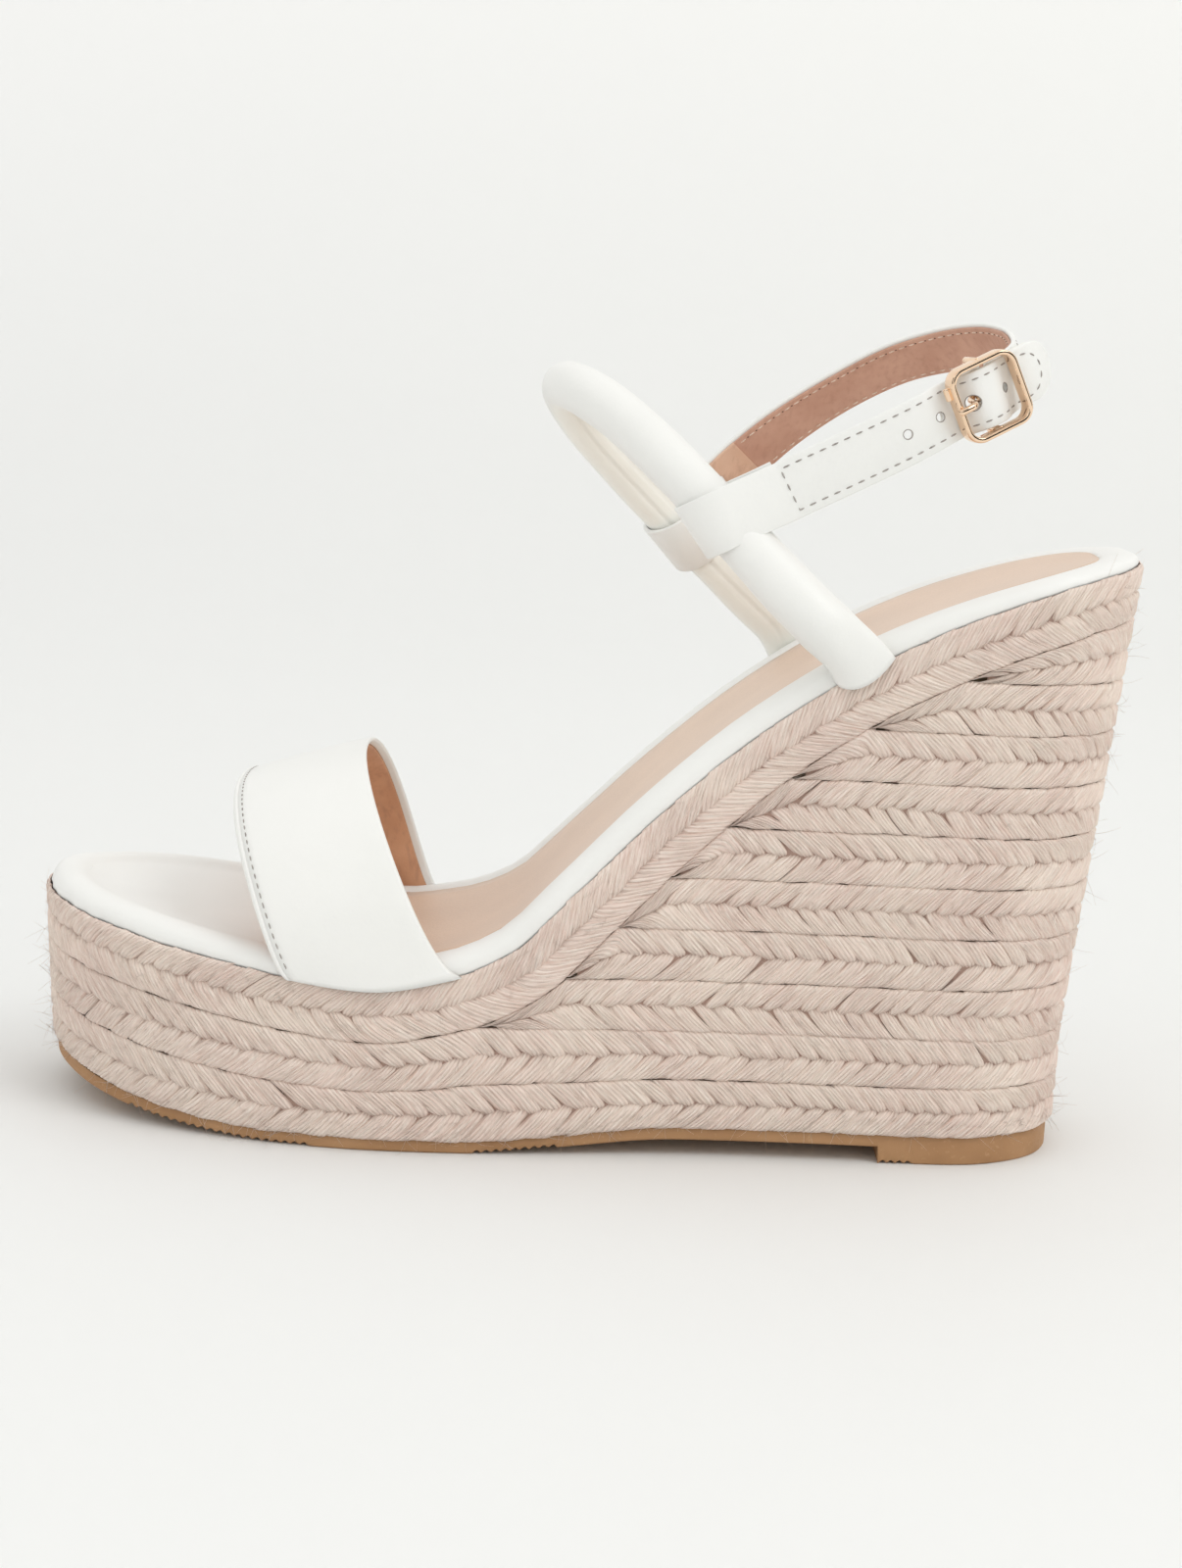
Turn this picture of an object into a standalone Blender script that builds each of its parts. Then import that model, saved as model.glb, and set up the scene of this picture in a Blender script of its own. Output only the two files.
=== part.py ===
"""Open-toe wedge sandal, left foot: a braided jute wedge, a padded instep tube and a buckled ankle strap.

Lengths are in millimetres and are scaled to metres as each mesh is made. X runs from the toe (-) to the
heel (+), Y from the outer side of the foot (-) to the inner side (+), and Z up from the ground.
"""

import math

import bmesh
import bpy
import numpy as np
from mathutils import Vector

MM = 0.001
GAP = 0.3

# Footbed and sole, seen from the side: (x, height).
FOOTBED_HEIGHTS = [
    (-114, 42.6), (-96, 39.6), (-76, 36.4), (-56, 33.6), (-40, 32.4), (-24, 35.2),
    (-12, 40.6), (0, 52.6), (16, 69.3), (35, 86.2), (56, 100.4), (78, 111.4), (98, 118.6), (113, 122.2),
]
SOLE_HEIGHTS = [(-114, 9.2), (-96, 4.6), (-78, 1.5), (-58, 0), (-20, 0), (-2, 1.4), (22, 3.4), (113, 3.4)]

# Plan of the footbed's edge, from the toe to the heel: (x, y).
OUTER_SIDE = [
    (-111.4, 5), (-108.5, -10), (-99, -24.5), (-84, -34.5), (-65, -41), (-42, -44.2), (-18, -42.6),
    (6, -38.6), (30, -35.2), (54, -33.6), (76, -32.6), (94, -29.8), (105.2, -21.6), (110.4, -11), (111.2, 0),
]
INNER_SIDE = [
    (110.4, 9.6), (104.8, 19.8), (93, 27.4), (74, 31), (52, 31.4), (28, 31.4), (6, 34), (-16, 39.4), (-38, 43.6),
    (-58, 44), (-77, 40.6), (-93, 33.4), (-104, 23), (-110, 12.5),
]

SOLE_THICKNESS = 2.7
SOLE_INSET = 0.7
HEEL_BLOCK_FRONT = 63.5
BACK_SLOPE = 0.098
# The heel's back turns upright again near the ground.
HEEL_FLARE = 1.8
HEEL_FLARE_HEIGHT = 30.0
TOE_SLOPE = 0.075

BRAID_WIDTH = 10.4
BRAID_THICKNESS = 2.2
BRAID_CROWN = 0.5
SECOND_ROW_TOP = 25.8
HEEL_ROWS = 8
LAST_ROW = 2 + HEEL_ROWS
# The last row is wide enough to reach the top band.
LAST_ROW_EXTRA = 4.0
ROW_CLEARANCE = 0.9

RIM_INSET = 1.7
RIM_HEIGHT = 4.6
# What lies above the firm base thins towards the heel, by this share at its very end.
FIRM_HEIGHT = 1.2
HEEL_THINNING = 0.5
COVER_THICKNESS = 1.0
BOARD_THICKNESS = 1.4
SOCK_THICKNESS = 0.7
SOCK_INSET = 8.2
SOCK_FRONT = -42
SOCK_LIFT = 0.9

STATIONS = 28

VAMP_FRONT_FEET = (-56.3, -65.0)
VAMP_BACK_FEET = (-21.8, -29.5)
# How fast its front and its back edge sweep forward from their feet; lower is faster.
VAMP_SWEEP = (0.7, 0.58)
VAMP_FRONT_TOP = (-71.6, 66.8)
VAMP_BACK_TOP = (-45.2, 75.6)
VAMP_ARCH_POWER = 2.35
FOOT_CLEARANCE = 0.9
VAMP_BULGE = 1.3
VAMP_OUTER_THICKNESS = 1.1
VAMP_LINING_THICKNESS = 0.7
BINDING_WIDTH = 3.0
VAMP_LENGTH = 34.0

TUBE_ROUTE = [
    (54.4, -34.6, 101.0), (51.6, -35.2, 103.8), (46.0, -34.8, 107.8), (36.5, -33.2, 116.2),
    (27.0, -30.4, 125.4), (18.0, -27.2, 134.0), (9.5, -22.8, 141.4), (1.8, -16.8, 147.2),
    (-4.8, -9.0, 150.6), (-8.0, 0.5, 151.0),
    (-6.8, 9.5, 147.6), (-1.8, 17.0, 141.2), (6.0, 22.6, 133.2), (15.2, 26.2, 124.4), (24.8, 28.8, 115.9),
    (34.0, 31.0, 107.6), (41.6, 32.4, 101.0), (44.4, 32.6, 98.2), (46.2, 32.4, 96.0),
]
TUBE_RADII = [(0.0, 5.0), (0.06, 5.9), (0.3, 5.8), (0.5, 5.1), (0.7, 5.6), (0.94, 5.9), (1.0, 5.0)]
TUBE_FOOT_HALF_LENGTH = 7.4
TUBE_FOOT_HALF_THICKNESS = 1.5
TUBE_FOOT_REACH = 11.0
TUBE_WALL = 1.1
TUBE_LOOP_NORMAL = (1.0, 0.0, 0.8)

LOOP_CENTRES = {"lateral": (24.6, -29.5, 127.8), "medial": (17.4, 26.9, 122.4)}
LOOP_CLEARANCE = 1.3
LOOP_THICKNESS = 1.5
LOOP_WIDTH = 11.6

STRAP_WIDTH = 11.8
STRAP_THICKNESS = 1.0
STRAP_LINING_THICKNESS = 0.7
STRAP_END_RADIUS = 5.9
CALM_REACH = 7.0

BUCKLE_CENTRE = (74.3, -27.6, 154.4)
BUCKLE_RISE = math.radians(26.5)
BUCKLE_YAW = math.radians(20)
BUCKLE_HALF_LENGTH = 7.0
BUCKLE_HALF_WIDTH = 7.2
BUCKLE_CORNER = 2.6
BUCKLE_WIRE = (0.9, 1.2)
BUCKLE_LIFT = 1.9
BAR_RADIUS = 0.8
BAR_DEPTH = -2.8
BAR_LUG_RADIUS = 0.85
PRONG_RADIUS = 0.6
PRONG_SLOT = 2.0
HOLE_RADIUS = 1.1
PRONG_HOLE_RADIUS = 1.95
HOLE_PITCH = 7.2
PRONG_HOLE = -3.2
HOLES_BEFORE_PRONG = 2
HOLES_AFTER_PRONG = 1


# --- smooth curves --------------------------------------------------------------------------------


def height_profile(points):
    """A smooth height for any x, which never swings past the given points."""
    xs, zs = np.array(points, float).T
    slopes = np.diff(zs) / np.diff(xs)
    inner = np.zeros(len(slopes) - 1)
    same_way = slopes[:-1] * slopes[1:] > 0
    inner[same_way] = 2 / (1 / slopes[:-1][same_way] + 1 / slopes[1:][same_way])
    tangents = np.concatenate([slopes[:1], inner, slopes[-1:]])

    def height(x):
        i = np.clip(np.searchsorted(xs, x) - 1, 0, len(slopes) - 1)
        step = xs[i + 1] - xs[i]
        t = np.clip((x - xs[i]) / step, 0, 1)
        rise = zs[i] * (2 * t**3 - 3 * t**2 + 1) + zs[i + 1] * (3 * t**2 - 2 * t**3)
        return rise + step * (tangents[i] * (t**3 - 2 * t**2 + t) + tangents[i + 1] * (t**3 - t**2))

    return height


def smooth_path(points, steps, closed=False):
    """Points on a smooth curve through the given ones, `steps` to each stretch."""
    knots = np.array(points, float)
    if closed:
        knots = np.vstack([knots[-2:], knots, knots[:3]])
    else:
        knots = np.vstack([2 * knots[0] - knots[1], knots, 2 * knots[-1] - knots[-2]])
    path = []
    t = np.linspace(0, 1, steps, endpoint=False)[:, None]
    for a, b, c, d in zip(knots[:-3], knots[1:-2], knots[2:-1], knots[3:]):
        ab, bc, cd = (math.sqrt(np.linalg.norm(q - p)) for p, q in ((a, b), (b, c), (c, d)))
        leave = c - b + bc * ((b - a) / ab - (c - a) / (ab + bc))
        reach = c - b + bc * ((d - c) / cd - (d - b) / (bc + cd))
        bend = t**2 * (3 * (c - b) - 2 * leave - reach) + t**3 * (2 * (b - c) + leave + reach)
        path.append(b + t * leave + bend)
    path = np.vstack(path + [knots[-2][None]])
    if not closed:
        return path
    return path[steps:-1 - steps]


def arc_lengths(path):
    return np.concatenate([[0], np.cumsum(np.linalg.norm(np.diff(path, axis=0), axis=1))])


def even_path(points, count, steps=24):
    """`count` points on the smooth curve through the given ones, evenly spaced."""
    path = smooth_path(points, steps)
    along = arc_lengths(path)
    where = np.linspace(0, along[-1], count)
    return np.stack([np.interp(where, along, path[:, k]) for k in range(path.shape[1])], axis=1)


def unit(vectors):
    vectors = np.asarray(vectors, float)
    return vectors / np.linalg.norm(vectors, axis=-1, keepdims=True)


footbed_height = height_profile(FOOTBED_HEIGHTS)
sole_height = height_profile(SOLE_HEIGHTS)


# --- the sandal's edge ----------------------------------------------------------------------------


def edge_curve():
    """The closed plan outline, from the toe round the outer side, the heel and the inner side."""
    path = smooth_path(OUTER_SIDE + INNER_SIDE, 24, closed=True)
    path = np.roll(path, -np.argmin(path[:, 0]), axis=0)
    return np.vstack([path, path[:1]])


EDGE = edge_curve()
EDGE_ALONG = arc_lengths(EDGE)
EDGE_LENGTH = EDGE_ALONG[-1]
HEEL_ALONG = EDGE_ALONG[np.argmax(EDGE[:, 0])]
EDGE_TANGENTS = unit(np.gradient(EDGE[:-1], axis=0))
EDGE_OUTWARD = np.stack([EDGE_TANGENTS[:, 1], -EDGE_TANGENTS[:, 0]], axis=1)
EDGE_OUTWARD = np.vstack([EDGE_OUTWARD, EDGE_OUTWARD[:1]])
if EDGE_OUTWARD[np.argmin(EDGE[:, 1]), 1] > 0:
    EDGE_OUTWARD = -EDGE_OUTWARD


def edge_point(along, inset=0.0):
    """Plan position at a distance along the edge, moved inwards by inset."""
    along = np.mod(along, EDGE_LENGTH)
    x, y = (np.interp(along, EDGE_ALONG, EDGE[:, k]) for k in (0, 1))
    nx, ny = (np.interp(along, EDGE_ALONG, EDGE_OUTWARD[:, k]) for k in (0, 1))
    return np.stack([x - inset * nx, y - inset * ny], axis=-1)


def smooth_step(x, low, high):
    t = np.clip((x - low) / (high - low), 0, 1)
    return t * t * (3 - 2 * t)


def wall_point(along, height, inset=0.0):
    """A point of the wedge's side wall, which leans in under the heel and under the toe."""
    edge = edge_point(along)
    plan = edge_point(along, inset)
    drop = footbed_height(edge[..., 0]) - height
    lean = BACK_SLOPE * smooth_step(edge[..., 0], 20, 105) - TOE_SLOPE * smooth_step(-edge[..., 0], 70, 108)
    flare = HEEL_FLARE * smooth_step(edge[..., 0], 80, 108) * (1 - smooth_step(height, 0, HEEL_FLARE_HEIGHT))
    return np.stack([plan[..., 0] - lean * drop + flare, plan[..., 1], height + 0 * drop], axis=-1)


def edge_height(along):
    return footbed_height(edge_point(along)[..., 0])


def band_bottom_curve():
    """The lower edge of the top braid: the footbed's edge, moved down square to itself along the wall."""
    along = np.linspace(-0.2 * EDGE_LENGTH, 1.2 * EDGE_LENGTH, 2400)
    height = edge_height(along)
    slope = np.gradient(height, along)
    length = np.sqrt(1 + slope**2)
    moved = along + BRAID_WIDTH * slope / length
    order = np.argsort(moved)
    return moved[order], (height - BRAID_WIDTH / length)[order]


BAND_ALONG, BAND_BOTTOM = band_bottom_curve()


def top_band_bottom(along):
    return np.interp(np.mod(along, EDGE_LENGTH), BAND_ALONG, BAND_BOTTOM)


def jute_bottom(along):
    """Where the braid meets the outsole."""
    x = edge_point(along)[..., 0]
    return sole_height(x) + SOLE_THICKNESS + GAP


def second_row_top(along):
    """The lower full rows fill the forefoot up to the top braid, and run level under the heel."""
    band = top_band_bottom(along) - GAP
    forefoot = edge_point(along)[..., 0] < -30
    return np.where(forefoot, band, np.minimum(band, SECOND_ROW_TOP))


def first_row_top(along):
    return (jute_bottom(along) + second_row_top(along) - GAP) / 2


def ring_stations():
    """Distances along the edge from the toe round the outer side, closer together at toe and heel."""
    even = np.linspace(0, 1, STATIONS, endpoint=False)
    eased = even - 0.4 * np.sin(2 * math.pi * even) / (2 * math.pi)
    return np.concatenate([eased * HEEL_ALONG, HEEL_ALONG + eased * (EDGE_LENGTH - HEEL_ALONG)])


def footbed_ring(inset, lift, front=None):
    """A ring on the footbed, inset from its edge and lifted square to it; front cuts it off at an x."""
    plan = edge_point(ring_stations(), inset)
    if front is not None:
        plan[:, 0] = np.maximum(plan[:, 0], front + 0.02 * np.arange(len(plan)))
    x = plan[:, 0]
    slope = footbed_height(x + 0.5) - footbed_height(x - 0.5)
    length = np.sqrt(1 + slope**2)
    lift = lift - HEEL_THINNING * smooth_step(x, 50, 108) * np.maximum(0, lift - FIRM_HEIGHT)
    return np.stack([x - lift * slope / length, plan[:, 1], footbed_height(x) + lift / length], axis=1)


def wall_ring(height_of, inset):
    stations = ring_stations()
    return wall_point(stations, height_of(stations), inset)


# --- meshes ---------------------------------------------------------------------------------------


def clear_scene():
    for obj in list(bpy.data.objects):
        bpy.data.objects.remove(obj)


def collection(name, shown=True):
    made = bpy.data.collections.new(name)
    bpy.context.scene.collection.children.link(made)
    made.hide_render = not shown
    return made


def material(name, colour, roughness, metallic=0.0):
    made = bpy.data.materials.new(name)
    made.use_nodes = True
    shader = made.node_tree.nodes["Principled BSDF"]
    shader.inputs["Base Color"].default_value = (*colour, 1)
    shader.inputs["Roughness"].default_value = roughness
    shader.inputs["Metallic"].default_value = metallic
    made.diffuse_color = (*colour, 1)
    return made


def place(obj, origin, parent):
    """Puts the object's origin at a point of the sandal's frame, under its parent."""
    obj.location = Vector(origin) * MM
    obj.parent = parent
    while parent:
        obj.location -= parent.location
        parent = parent.parent


def mesh_object(name, points, faces, look, origin=(0, 0, 0), parent=None, smooth_angle=40):
    """An object whose own origin is at origin, both given in millimetres of the sandal's frame."""
    mesh = bpy.data.meshes.new(name)
    mesh.from_pydata([Vector(p - np.array(origin)) * MM for p in np.asarray(points)], [], faces)
    shell = bmesh.new()
    shell.from_mesh(mesh)
    bmesh.ops.recalc_face_normals(shell, faces=shell.faces)
    shell.to_mesh(mesh)
    shell.free()
    mesh.materials.append(look)
    mesh.shade_smooth()
    mesh.set_sharp_from_angle(angle=math.radians(smooth_angle))
    obj = bpy.data.objects.new(name, mesh)
    SANDAL.objects.link(obj)
    place(obj, origin, parent)
    return obj


def ring_loft(name, rings, look):
    """A body through rings of the footbed's stations, its first and last ring closed from side to side."""
    count = len(rings[0])
    half = count // 2
    faces = []
    for level in range(len(rings) - 1):
        for i in range(count):
            j = (i + 1) % count
            low, high = level * count, (level + 1) * count
            faces.append([low + i, low + j, high + j, high + i])
    for base in (0, (len(rings) - 1) * count):
        faces.append([base, base + 1, base + count - 1])
        for i in range(1, half - 1):
            faces.append([base + i, base + i + 1, base + count - i - 1, base + count - i])
        faces.append([base + half - 1, base + half, base + half + 1])
    return mesh_object(name, np.vstack(rings), faces, look)


def sweep(name, sections, look, closed=False, **placing):
    """A body through sections of as many points each, in a closed round or with both ends filled."""
    count = len(sections[0])
    faces = []
    for i in range(len(sections) - (not closed)):
        a, b = i * count, (i + 1) % len(sections) * count
        for k in range(count):
            n = (k + 1) % count
            faces.append([a + k, a + n, b + n, b + k])
    if not closed:
        faces.append(list(range(count)))
        faces.append(list(range((len(sections) - 1) * count, len(sections) * count)))
    return mesh_object(name, np.vstack(sections), faces, look, **placing)


def empty(name, origin, parent=None):
    made = bpy.data.objects.new(name, None)
    SANDAL.objects.link(made)
    made.empty_display_size = 5 * MM
    place(made, origin, parent)
    return made


def cylinder_cutter(name, centre, axis, radius, depth):
    bpy.ops.mesh.primitive_cylinder_add(vertices=12, radius=radius * MM, depth=depth * MM)
    made = bpy.context.object
    made.name = name
    made.location = Vector(centre) * MM
    made.rotation_euler = Vector(axis).to_track_quat("Z", "Y").to_euler()
    hide_cutter(made)
    return made


def hide_cutter(made):
    for home in list(made.users_collection):
        home.objects.unlink(made)
    CUTTERS.objects.link(made)
    made.hide_render = True
    made.display_type = "WIRE"


def join_boolean(obj, other, operation):
    modifier = obj.modifiers.new(other.name, "BOOLEAN")
    modifier.object = other
    modifier.operation = operation


# --- outsole, wedge and braids --------------------------------------------------------------------


def build_outsole(look):
    """A moulded rubber sheet with its heel block, laid out in sections from the toe to the heel."""
    stations = np.linspace(0, EDGE_LENGTH, 720)
    rim = wall_point(stations, jute_bottom(stations), SOLE_INSET)
    split = np.argmax(rim[:, 0])
    outer, inner = rim[:split + 1], rim[split:][::-1]
    toe, heel = rim[:, 0].min() + 0.4, rim[:, 0].max() - 0.4
    middle = (toe + heel) / 2
    xs = middle - (heel - toe) / 2 * np.cos(np.linspace(0, math.pi, 34))
    xs = np.sort(np.concatenate([xs, [HEEL_BLOCK_FRONT - 0.1, HEEL_BLOCK_FRONT + 0.1]]))
    sections = []
    for x in xs:
        outer_y = np.interp(x, outer[:, 0], outer[:, 1])
        inner_y = np.interp(x, inner[:, 0], inner[:, 1])
        bottom = 0 if x > HEEL_BLOCK_FRONT else sole_height(x)
        top = sole_height(x) + SOLE_THICKNESS
        sections.append([(x, outer_y, bottom), (x, outer_y, top), (x, inner_y, top), (x, inner_y, bottom)])
    return sweep("outsole", sections, look, smooth_angle=30)


def build_wedge_core(look):
    inset = BRAID_THICKNESS + 2 * GAP
    rings = []
    for share in (0, 0.04, 0.08, 0.13, 0.18, 0.24, 1):

        def height_of(s, share=share):
            low, high = jute_bottom(s) + GAP, edge_height(s) - 2 * GAP
            return low + share * (high - low)

        rings.append(wall_ring(height_of, inset))
    return ring_loft("wedge_core", rings, look)


def braid_section(along, low, high):
    crown = -BRAID_CROWN
    middle = (low + high) / 2
    outline = [(low, 0.2), (middle, crown), (high, 0.2), (high, BRAID_THICKNESS), (low, BRAID_THICKNESS)]
    return [wall_point(along, height, inset) for height, inset in outline]


def build_full_braid(name, low_of, high_of, look):
    sections = [braid_section(s, low_of(s), high_of(s)) for s in ring_stations()]
    return sweep(name, sections, look, closed=True)


def heel_row_span(low):
    """Where the top braid leaves room for a row at this height, on the outer and the inner side."""
    stations = np.linspace(0, EDGE_LENGTH, 1440)
    behind_ball = edge_point(stations)[:, 0] > -30
    room = stations[behind_ball & (top_band_bottom(stations) > low + ROW_CLEARANCE + 1.5)]
    return room[0], room[-1]


def build_heel_row(number, look):
    low = SECOND_ROW_TOP + GAP + (number - 3) * BRAID_WIDTH
    first, last = heel_row_span(low)
    near_ends = np.linspace(0, 16, 5)
    stations = ring_stations()
    stations = stations[(stations > first + 1) & (stations < last - 1)]
    stations = np.sort(np.concatenate([first + near_ends, stations, last - near_ends]))
    sections = []
    for s in stations:
        reach = BRAID_WIDTH + (LAST_ROW_EXTRA if number == LAST_ROW else 0)
        high = min(low + reach - GAP, top_band_bottom(s) - ROW_CLEARANCE)
        sections.append(braid_section(s, low, high))
    return sweep(f"braid_row_{number:02d}", sections, look)


def build_braids(look):
    build_full_braid("braid_top_band", top_band_bottom, lambda s: edge_height(s) - 0.1, look)
    build_full_braid("braid_row_01", lambda s: jute_bottom(s) + 0.1, first_row_top, look)
    build_full_braid("braid_row_02", lambda s: first_row_top(s) + GAP, second_row_top, look)
    for number in range(3, 3 + HEEL_ROWS):
        build_heel_row(number, look)


# --- footbed --------------------------------------------------------------------------------------


def build_footbed(board_look, foam_look, cover_look, sock_look):
    inside = RIM_INSET + COVER_THICKNESS + GAP
    board_top = GAP + BOARD_THICKNESS
    foam_top = RIM_HEIGHT - COVER_THICKNESS - GAP
    board = [footbed_ring(inside, GAP), footbed_ring(inside, board_top)]
    ring_loft("insole_board", board, board_look)
    foam = [footbed_ring(inside, board_top + GAP), footbed_ring(inside, foam_top)]
    ring_loft("footbed_padding", foam, foam_look)
    cover = [
        footbed_ring(RIM_INSET + COVER_THICKNESS, RIM_HEIGHT - COVER_THICKNESS),
        footbed_ring(RIM_INSET + COVER_THICKNESS, 0.4),
        footbed_ring(RIM_INSET, 0.4),
        footbed_ring(RIM_INSET - 0.3, RIM_HEIGHT / 2),
        footbed_ring(RIM_INSET + 0.5, RIM_HEIGHT - 0.7),
        footbed_ring(RIM_INSET + 2.2, RIM_HEIGHT),
    ]
    ring_loft("footbed_cover", cover, cover_look)
    sock = [
        footbed_ring(SOCK_INSET, RIM_HEIGHT + SOCK_LIFT, SOCK_FRONT),
        footbed_ring(SOCK_INSET, RIM_HEIGHT + SOCK_LIFT + SOCK_THICKNESS, SOCK_FRONT),
    ]
    ring_loft("sock_lining", sock, sock_look)


# --- vamp -----------------------------------------------------------------------------------------


def edge_at_x(x, inner_side):
    """Plan y of the sandal's edge at this x."""
    side = EDGE_ALONG > HEEL_ALONG if inner_side else EDGE_ALONG <= HEEL_ALONG
    points = EDGE[side]
    order = np.argsort(points[:, 0])
    return np.interp(x, points[order, 0], points[order, 1])


def vamp_point(across, back, out):
    """A point of the vamp: across 0 to 1 from outer to inner foot, back 0 to 1 from front to back edge."""
    feet = [front + (rear - front) * back for front, rear in zip(VAMP_FRONT_FEET, VAMP_BACK_FEET)]
    outer_y = edge_at_x(feet[0], False) - out
    inner_y = edge_at_x(feet[1], True) + out
    top_x = VAMP_FRONT_TOP[0] + (VAMP_BACK_TOP[0] - VAMP_FRONT_TOP[0]) * back
    top_z = VAMP_FRONT_TOP[1] + (VAMP_BACK_TOP[1] - VAMP_FRONT_TOP[1]) * back + out - VAMP_BULGE
    turn = math.pi * across
    sideways = -math.copysign(abs(math.cos(turn)) ** (2 / VAMP_ARCH_POWER), math.cos(turn))
    rise = math.sin(turn) ** (2 / VAMP_ARCH_POWER) if 0 < across < 1 else 0.0
    y = (outer_y + inner_y) / 2 + (inner_y - outer_y) / 2 * sideways
    foot_x = feet[0] + (feet[1] - feet[0]) * (1 + sideways) / 2
    foot_z = footbed_height(foot_x) + FOOT_CLEARANCE
    sweep_power = VAMP_SWEEP[0] + (VAMP_SWEEP[1] - VAMP_SWEEP[0]) * back
    lean = np.maximum(0, 0.65 * rise + 0.35 * (1 - sideways**2)) ** sweep_power
    return np.array([foot_x + (top_x - foot_x) * lean, y, foot_z + (top_z - foot_z) * rise])


def build_vamp_sheet(name, look, outside, thickness, front, back):
    sections = []
    for across in np.linspace(0, 1, 25):
        steps = np.linspace(front, back, 4)
        outer = [vamp_point(across, b, outside) for b in steps]
        inner = [vamp_point(across, b, outside - thickness) for b in steps[::-1]]
        sections.append(outer + inner)
    return sweep(name, sections, look)


def build_vamp(outer_look, lining_look):
    binding = BINDING_WIDTH / VAMP_LENGTH
    build_vamp_sheet("vamp_outer", outer_look, VAMP_BULGE, VAMP_OUTER_THICKNESS, binding, 1)
    lining_outside = VAMP_BULGE - VAMP_OUTER_THICKNESS - GAP
    build_vamp_sheet("vamp_lining", lining_look, lining_outside, VAMP_LINING_THICKNESS, binding, 0.985)
    whole = VAMP_OUTER_THICKNESS + GAP + VAMP_LINING_THICKNESS
    build_vamp_sheet("vamp_binding", outer_look, VAMP_BULGE, whole, 0, binding - GAP / VAMP_LENGTH)


# --- instep tube ----------------------------------------------------------------------------------


def tube_frames(count):
    """Centres along the padded tube, with its direction and the way square to its loop at each."""
    centres = even_path(TUBE_ROUTE, count)
    tangents = unit(np.gradient(centres, axis=0))
    square = unit(np.array(TUBE_LOOP_NORMAL))
    square = unit(square - (tangents @ square)[:, None] * tangents)
    return centres, tangents, square


def tube_sections(count, sides, shrink, ends_cut=0.0):
    centres, tangents, square = tube_frames(count)
    round_way = np.cross(tangents, square)
    along = arc_lengths(centres)
    fractions, radii = np.array(TUBE_RADII).T
    sections = []
    for i in range(count):
        nearest_end = min(along[i], along[-1] - along[i])
        if nearest_end < ends_cut:
            continue
        flat = 1 - smooth_step(nearest_end, 0, TUBE_FOOT_REACH)
        radius = np.interp(along[i] / along[-1], fractions, radii)
        half_length = radius + (TUBE_FOOT_HALF_LENGTH - radius) * flat - shrink
        half_thickness = radius + (TUBE_FOOT_HALF_THICKNESS - radius) * flat - shrink * (1 - 0.45 * flat)
        angles = np.linspace(0, 2 * math.pi, sides, endpoint=False)
        length_way = half_length * square[i]
        thickness_way = half_thickness * round_way[i]
        ring = [centres[i] + math.cos(a) * length_way + math.sin(a) * thickness_way for a in angles]
        sections.append(ring)
    return sections


def build_instep_tube(cover_look, core_look):
    """A padded tube: a cover open at both ends, with a soft core inside it."""
    count, sides = 32, 10
    outer = tube_sections(count, sides, 0.0)
    inner = tube_sections(count, sides, TUBE_WALL)
    sweep("instep_tube_cover", outer + inner[::-1], cover_look, closed=True)
    sweep("instep_tube_core", tube_sections(count, sides, TUBE_WALL + GAP, TUBE_FOOT_REACH), core_look)


def tube_direction_at(point):
    centres, tangents, _ = tube_frames(121)
    return tangents[np.argmin(np.linalg.norm(centres - np.array(point), axis=1))]


def build_strap_loop(side, look, parent):
    """A flat band of leather round the tube, carrying one end of the ankle strap."""
    centre = np.array(LOOP_CENTRES[side])
    axis = tube_direction_at(centre)
    outward = unit(np.cross(axis, np.cross([0.0, -1.0, 0.0], axis)))
    sideways = np.cross(axis, outward)
    inner = TUBE_RADII[1][1] + LOOP_CLEARANCE
    sections = []
    for angle in np.linspace(0, 2 * math.pi, 24, endpoint=False):
        way = math.cos(angle) * outward + math.sin(angle) * sideways
        corners = [(inner, -1), (inner, 1), (inner + LOOP_THICKNESS, 1), (inner + LOOP_THICKNESS, -1)]
        sections.append([centre + way * r + axis * LOOP_WIDTH / 2 * side_of for r, side_of in corners])
    return sweep(f"{side}_strap_loop", sections, look, closed=True, parent=parent)


# --- ankle strap and buckle -----------------------------------------------------------------------


def buckle_axes():
    """Directions of the buckle: along the strap to its tip, across it upwards, and out of the foot."""
    flat = np.array([math.cos(BUCKLE_YAW), math.sin(BUCKLE_YAW), 0.0])
    along = math.cos(BUCKLE_RISE) * flat + math.sin(BUCKLE_RISE) * np.array([0.0, 0.0, 1.0])
    out = np.array([math.sin(BUCKLE_YAW), -math.cos(BUCKLE_YAW), 0.0])
    return along, np.cross(out, along), out


ALONG, ACROSS, OUT = buckle_axes()


def at_buckle(along, out, across=0.0):
    return np.array(BUCKLE_CENTRE) + along * ALONG + out * OUT + across * ACROSS


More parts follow.
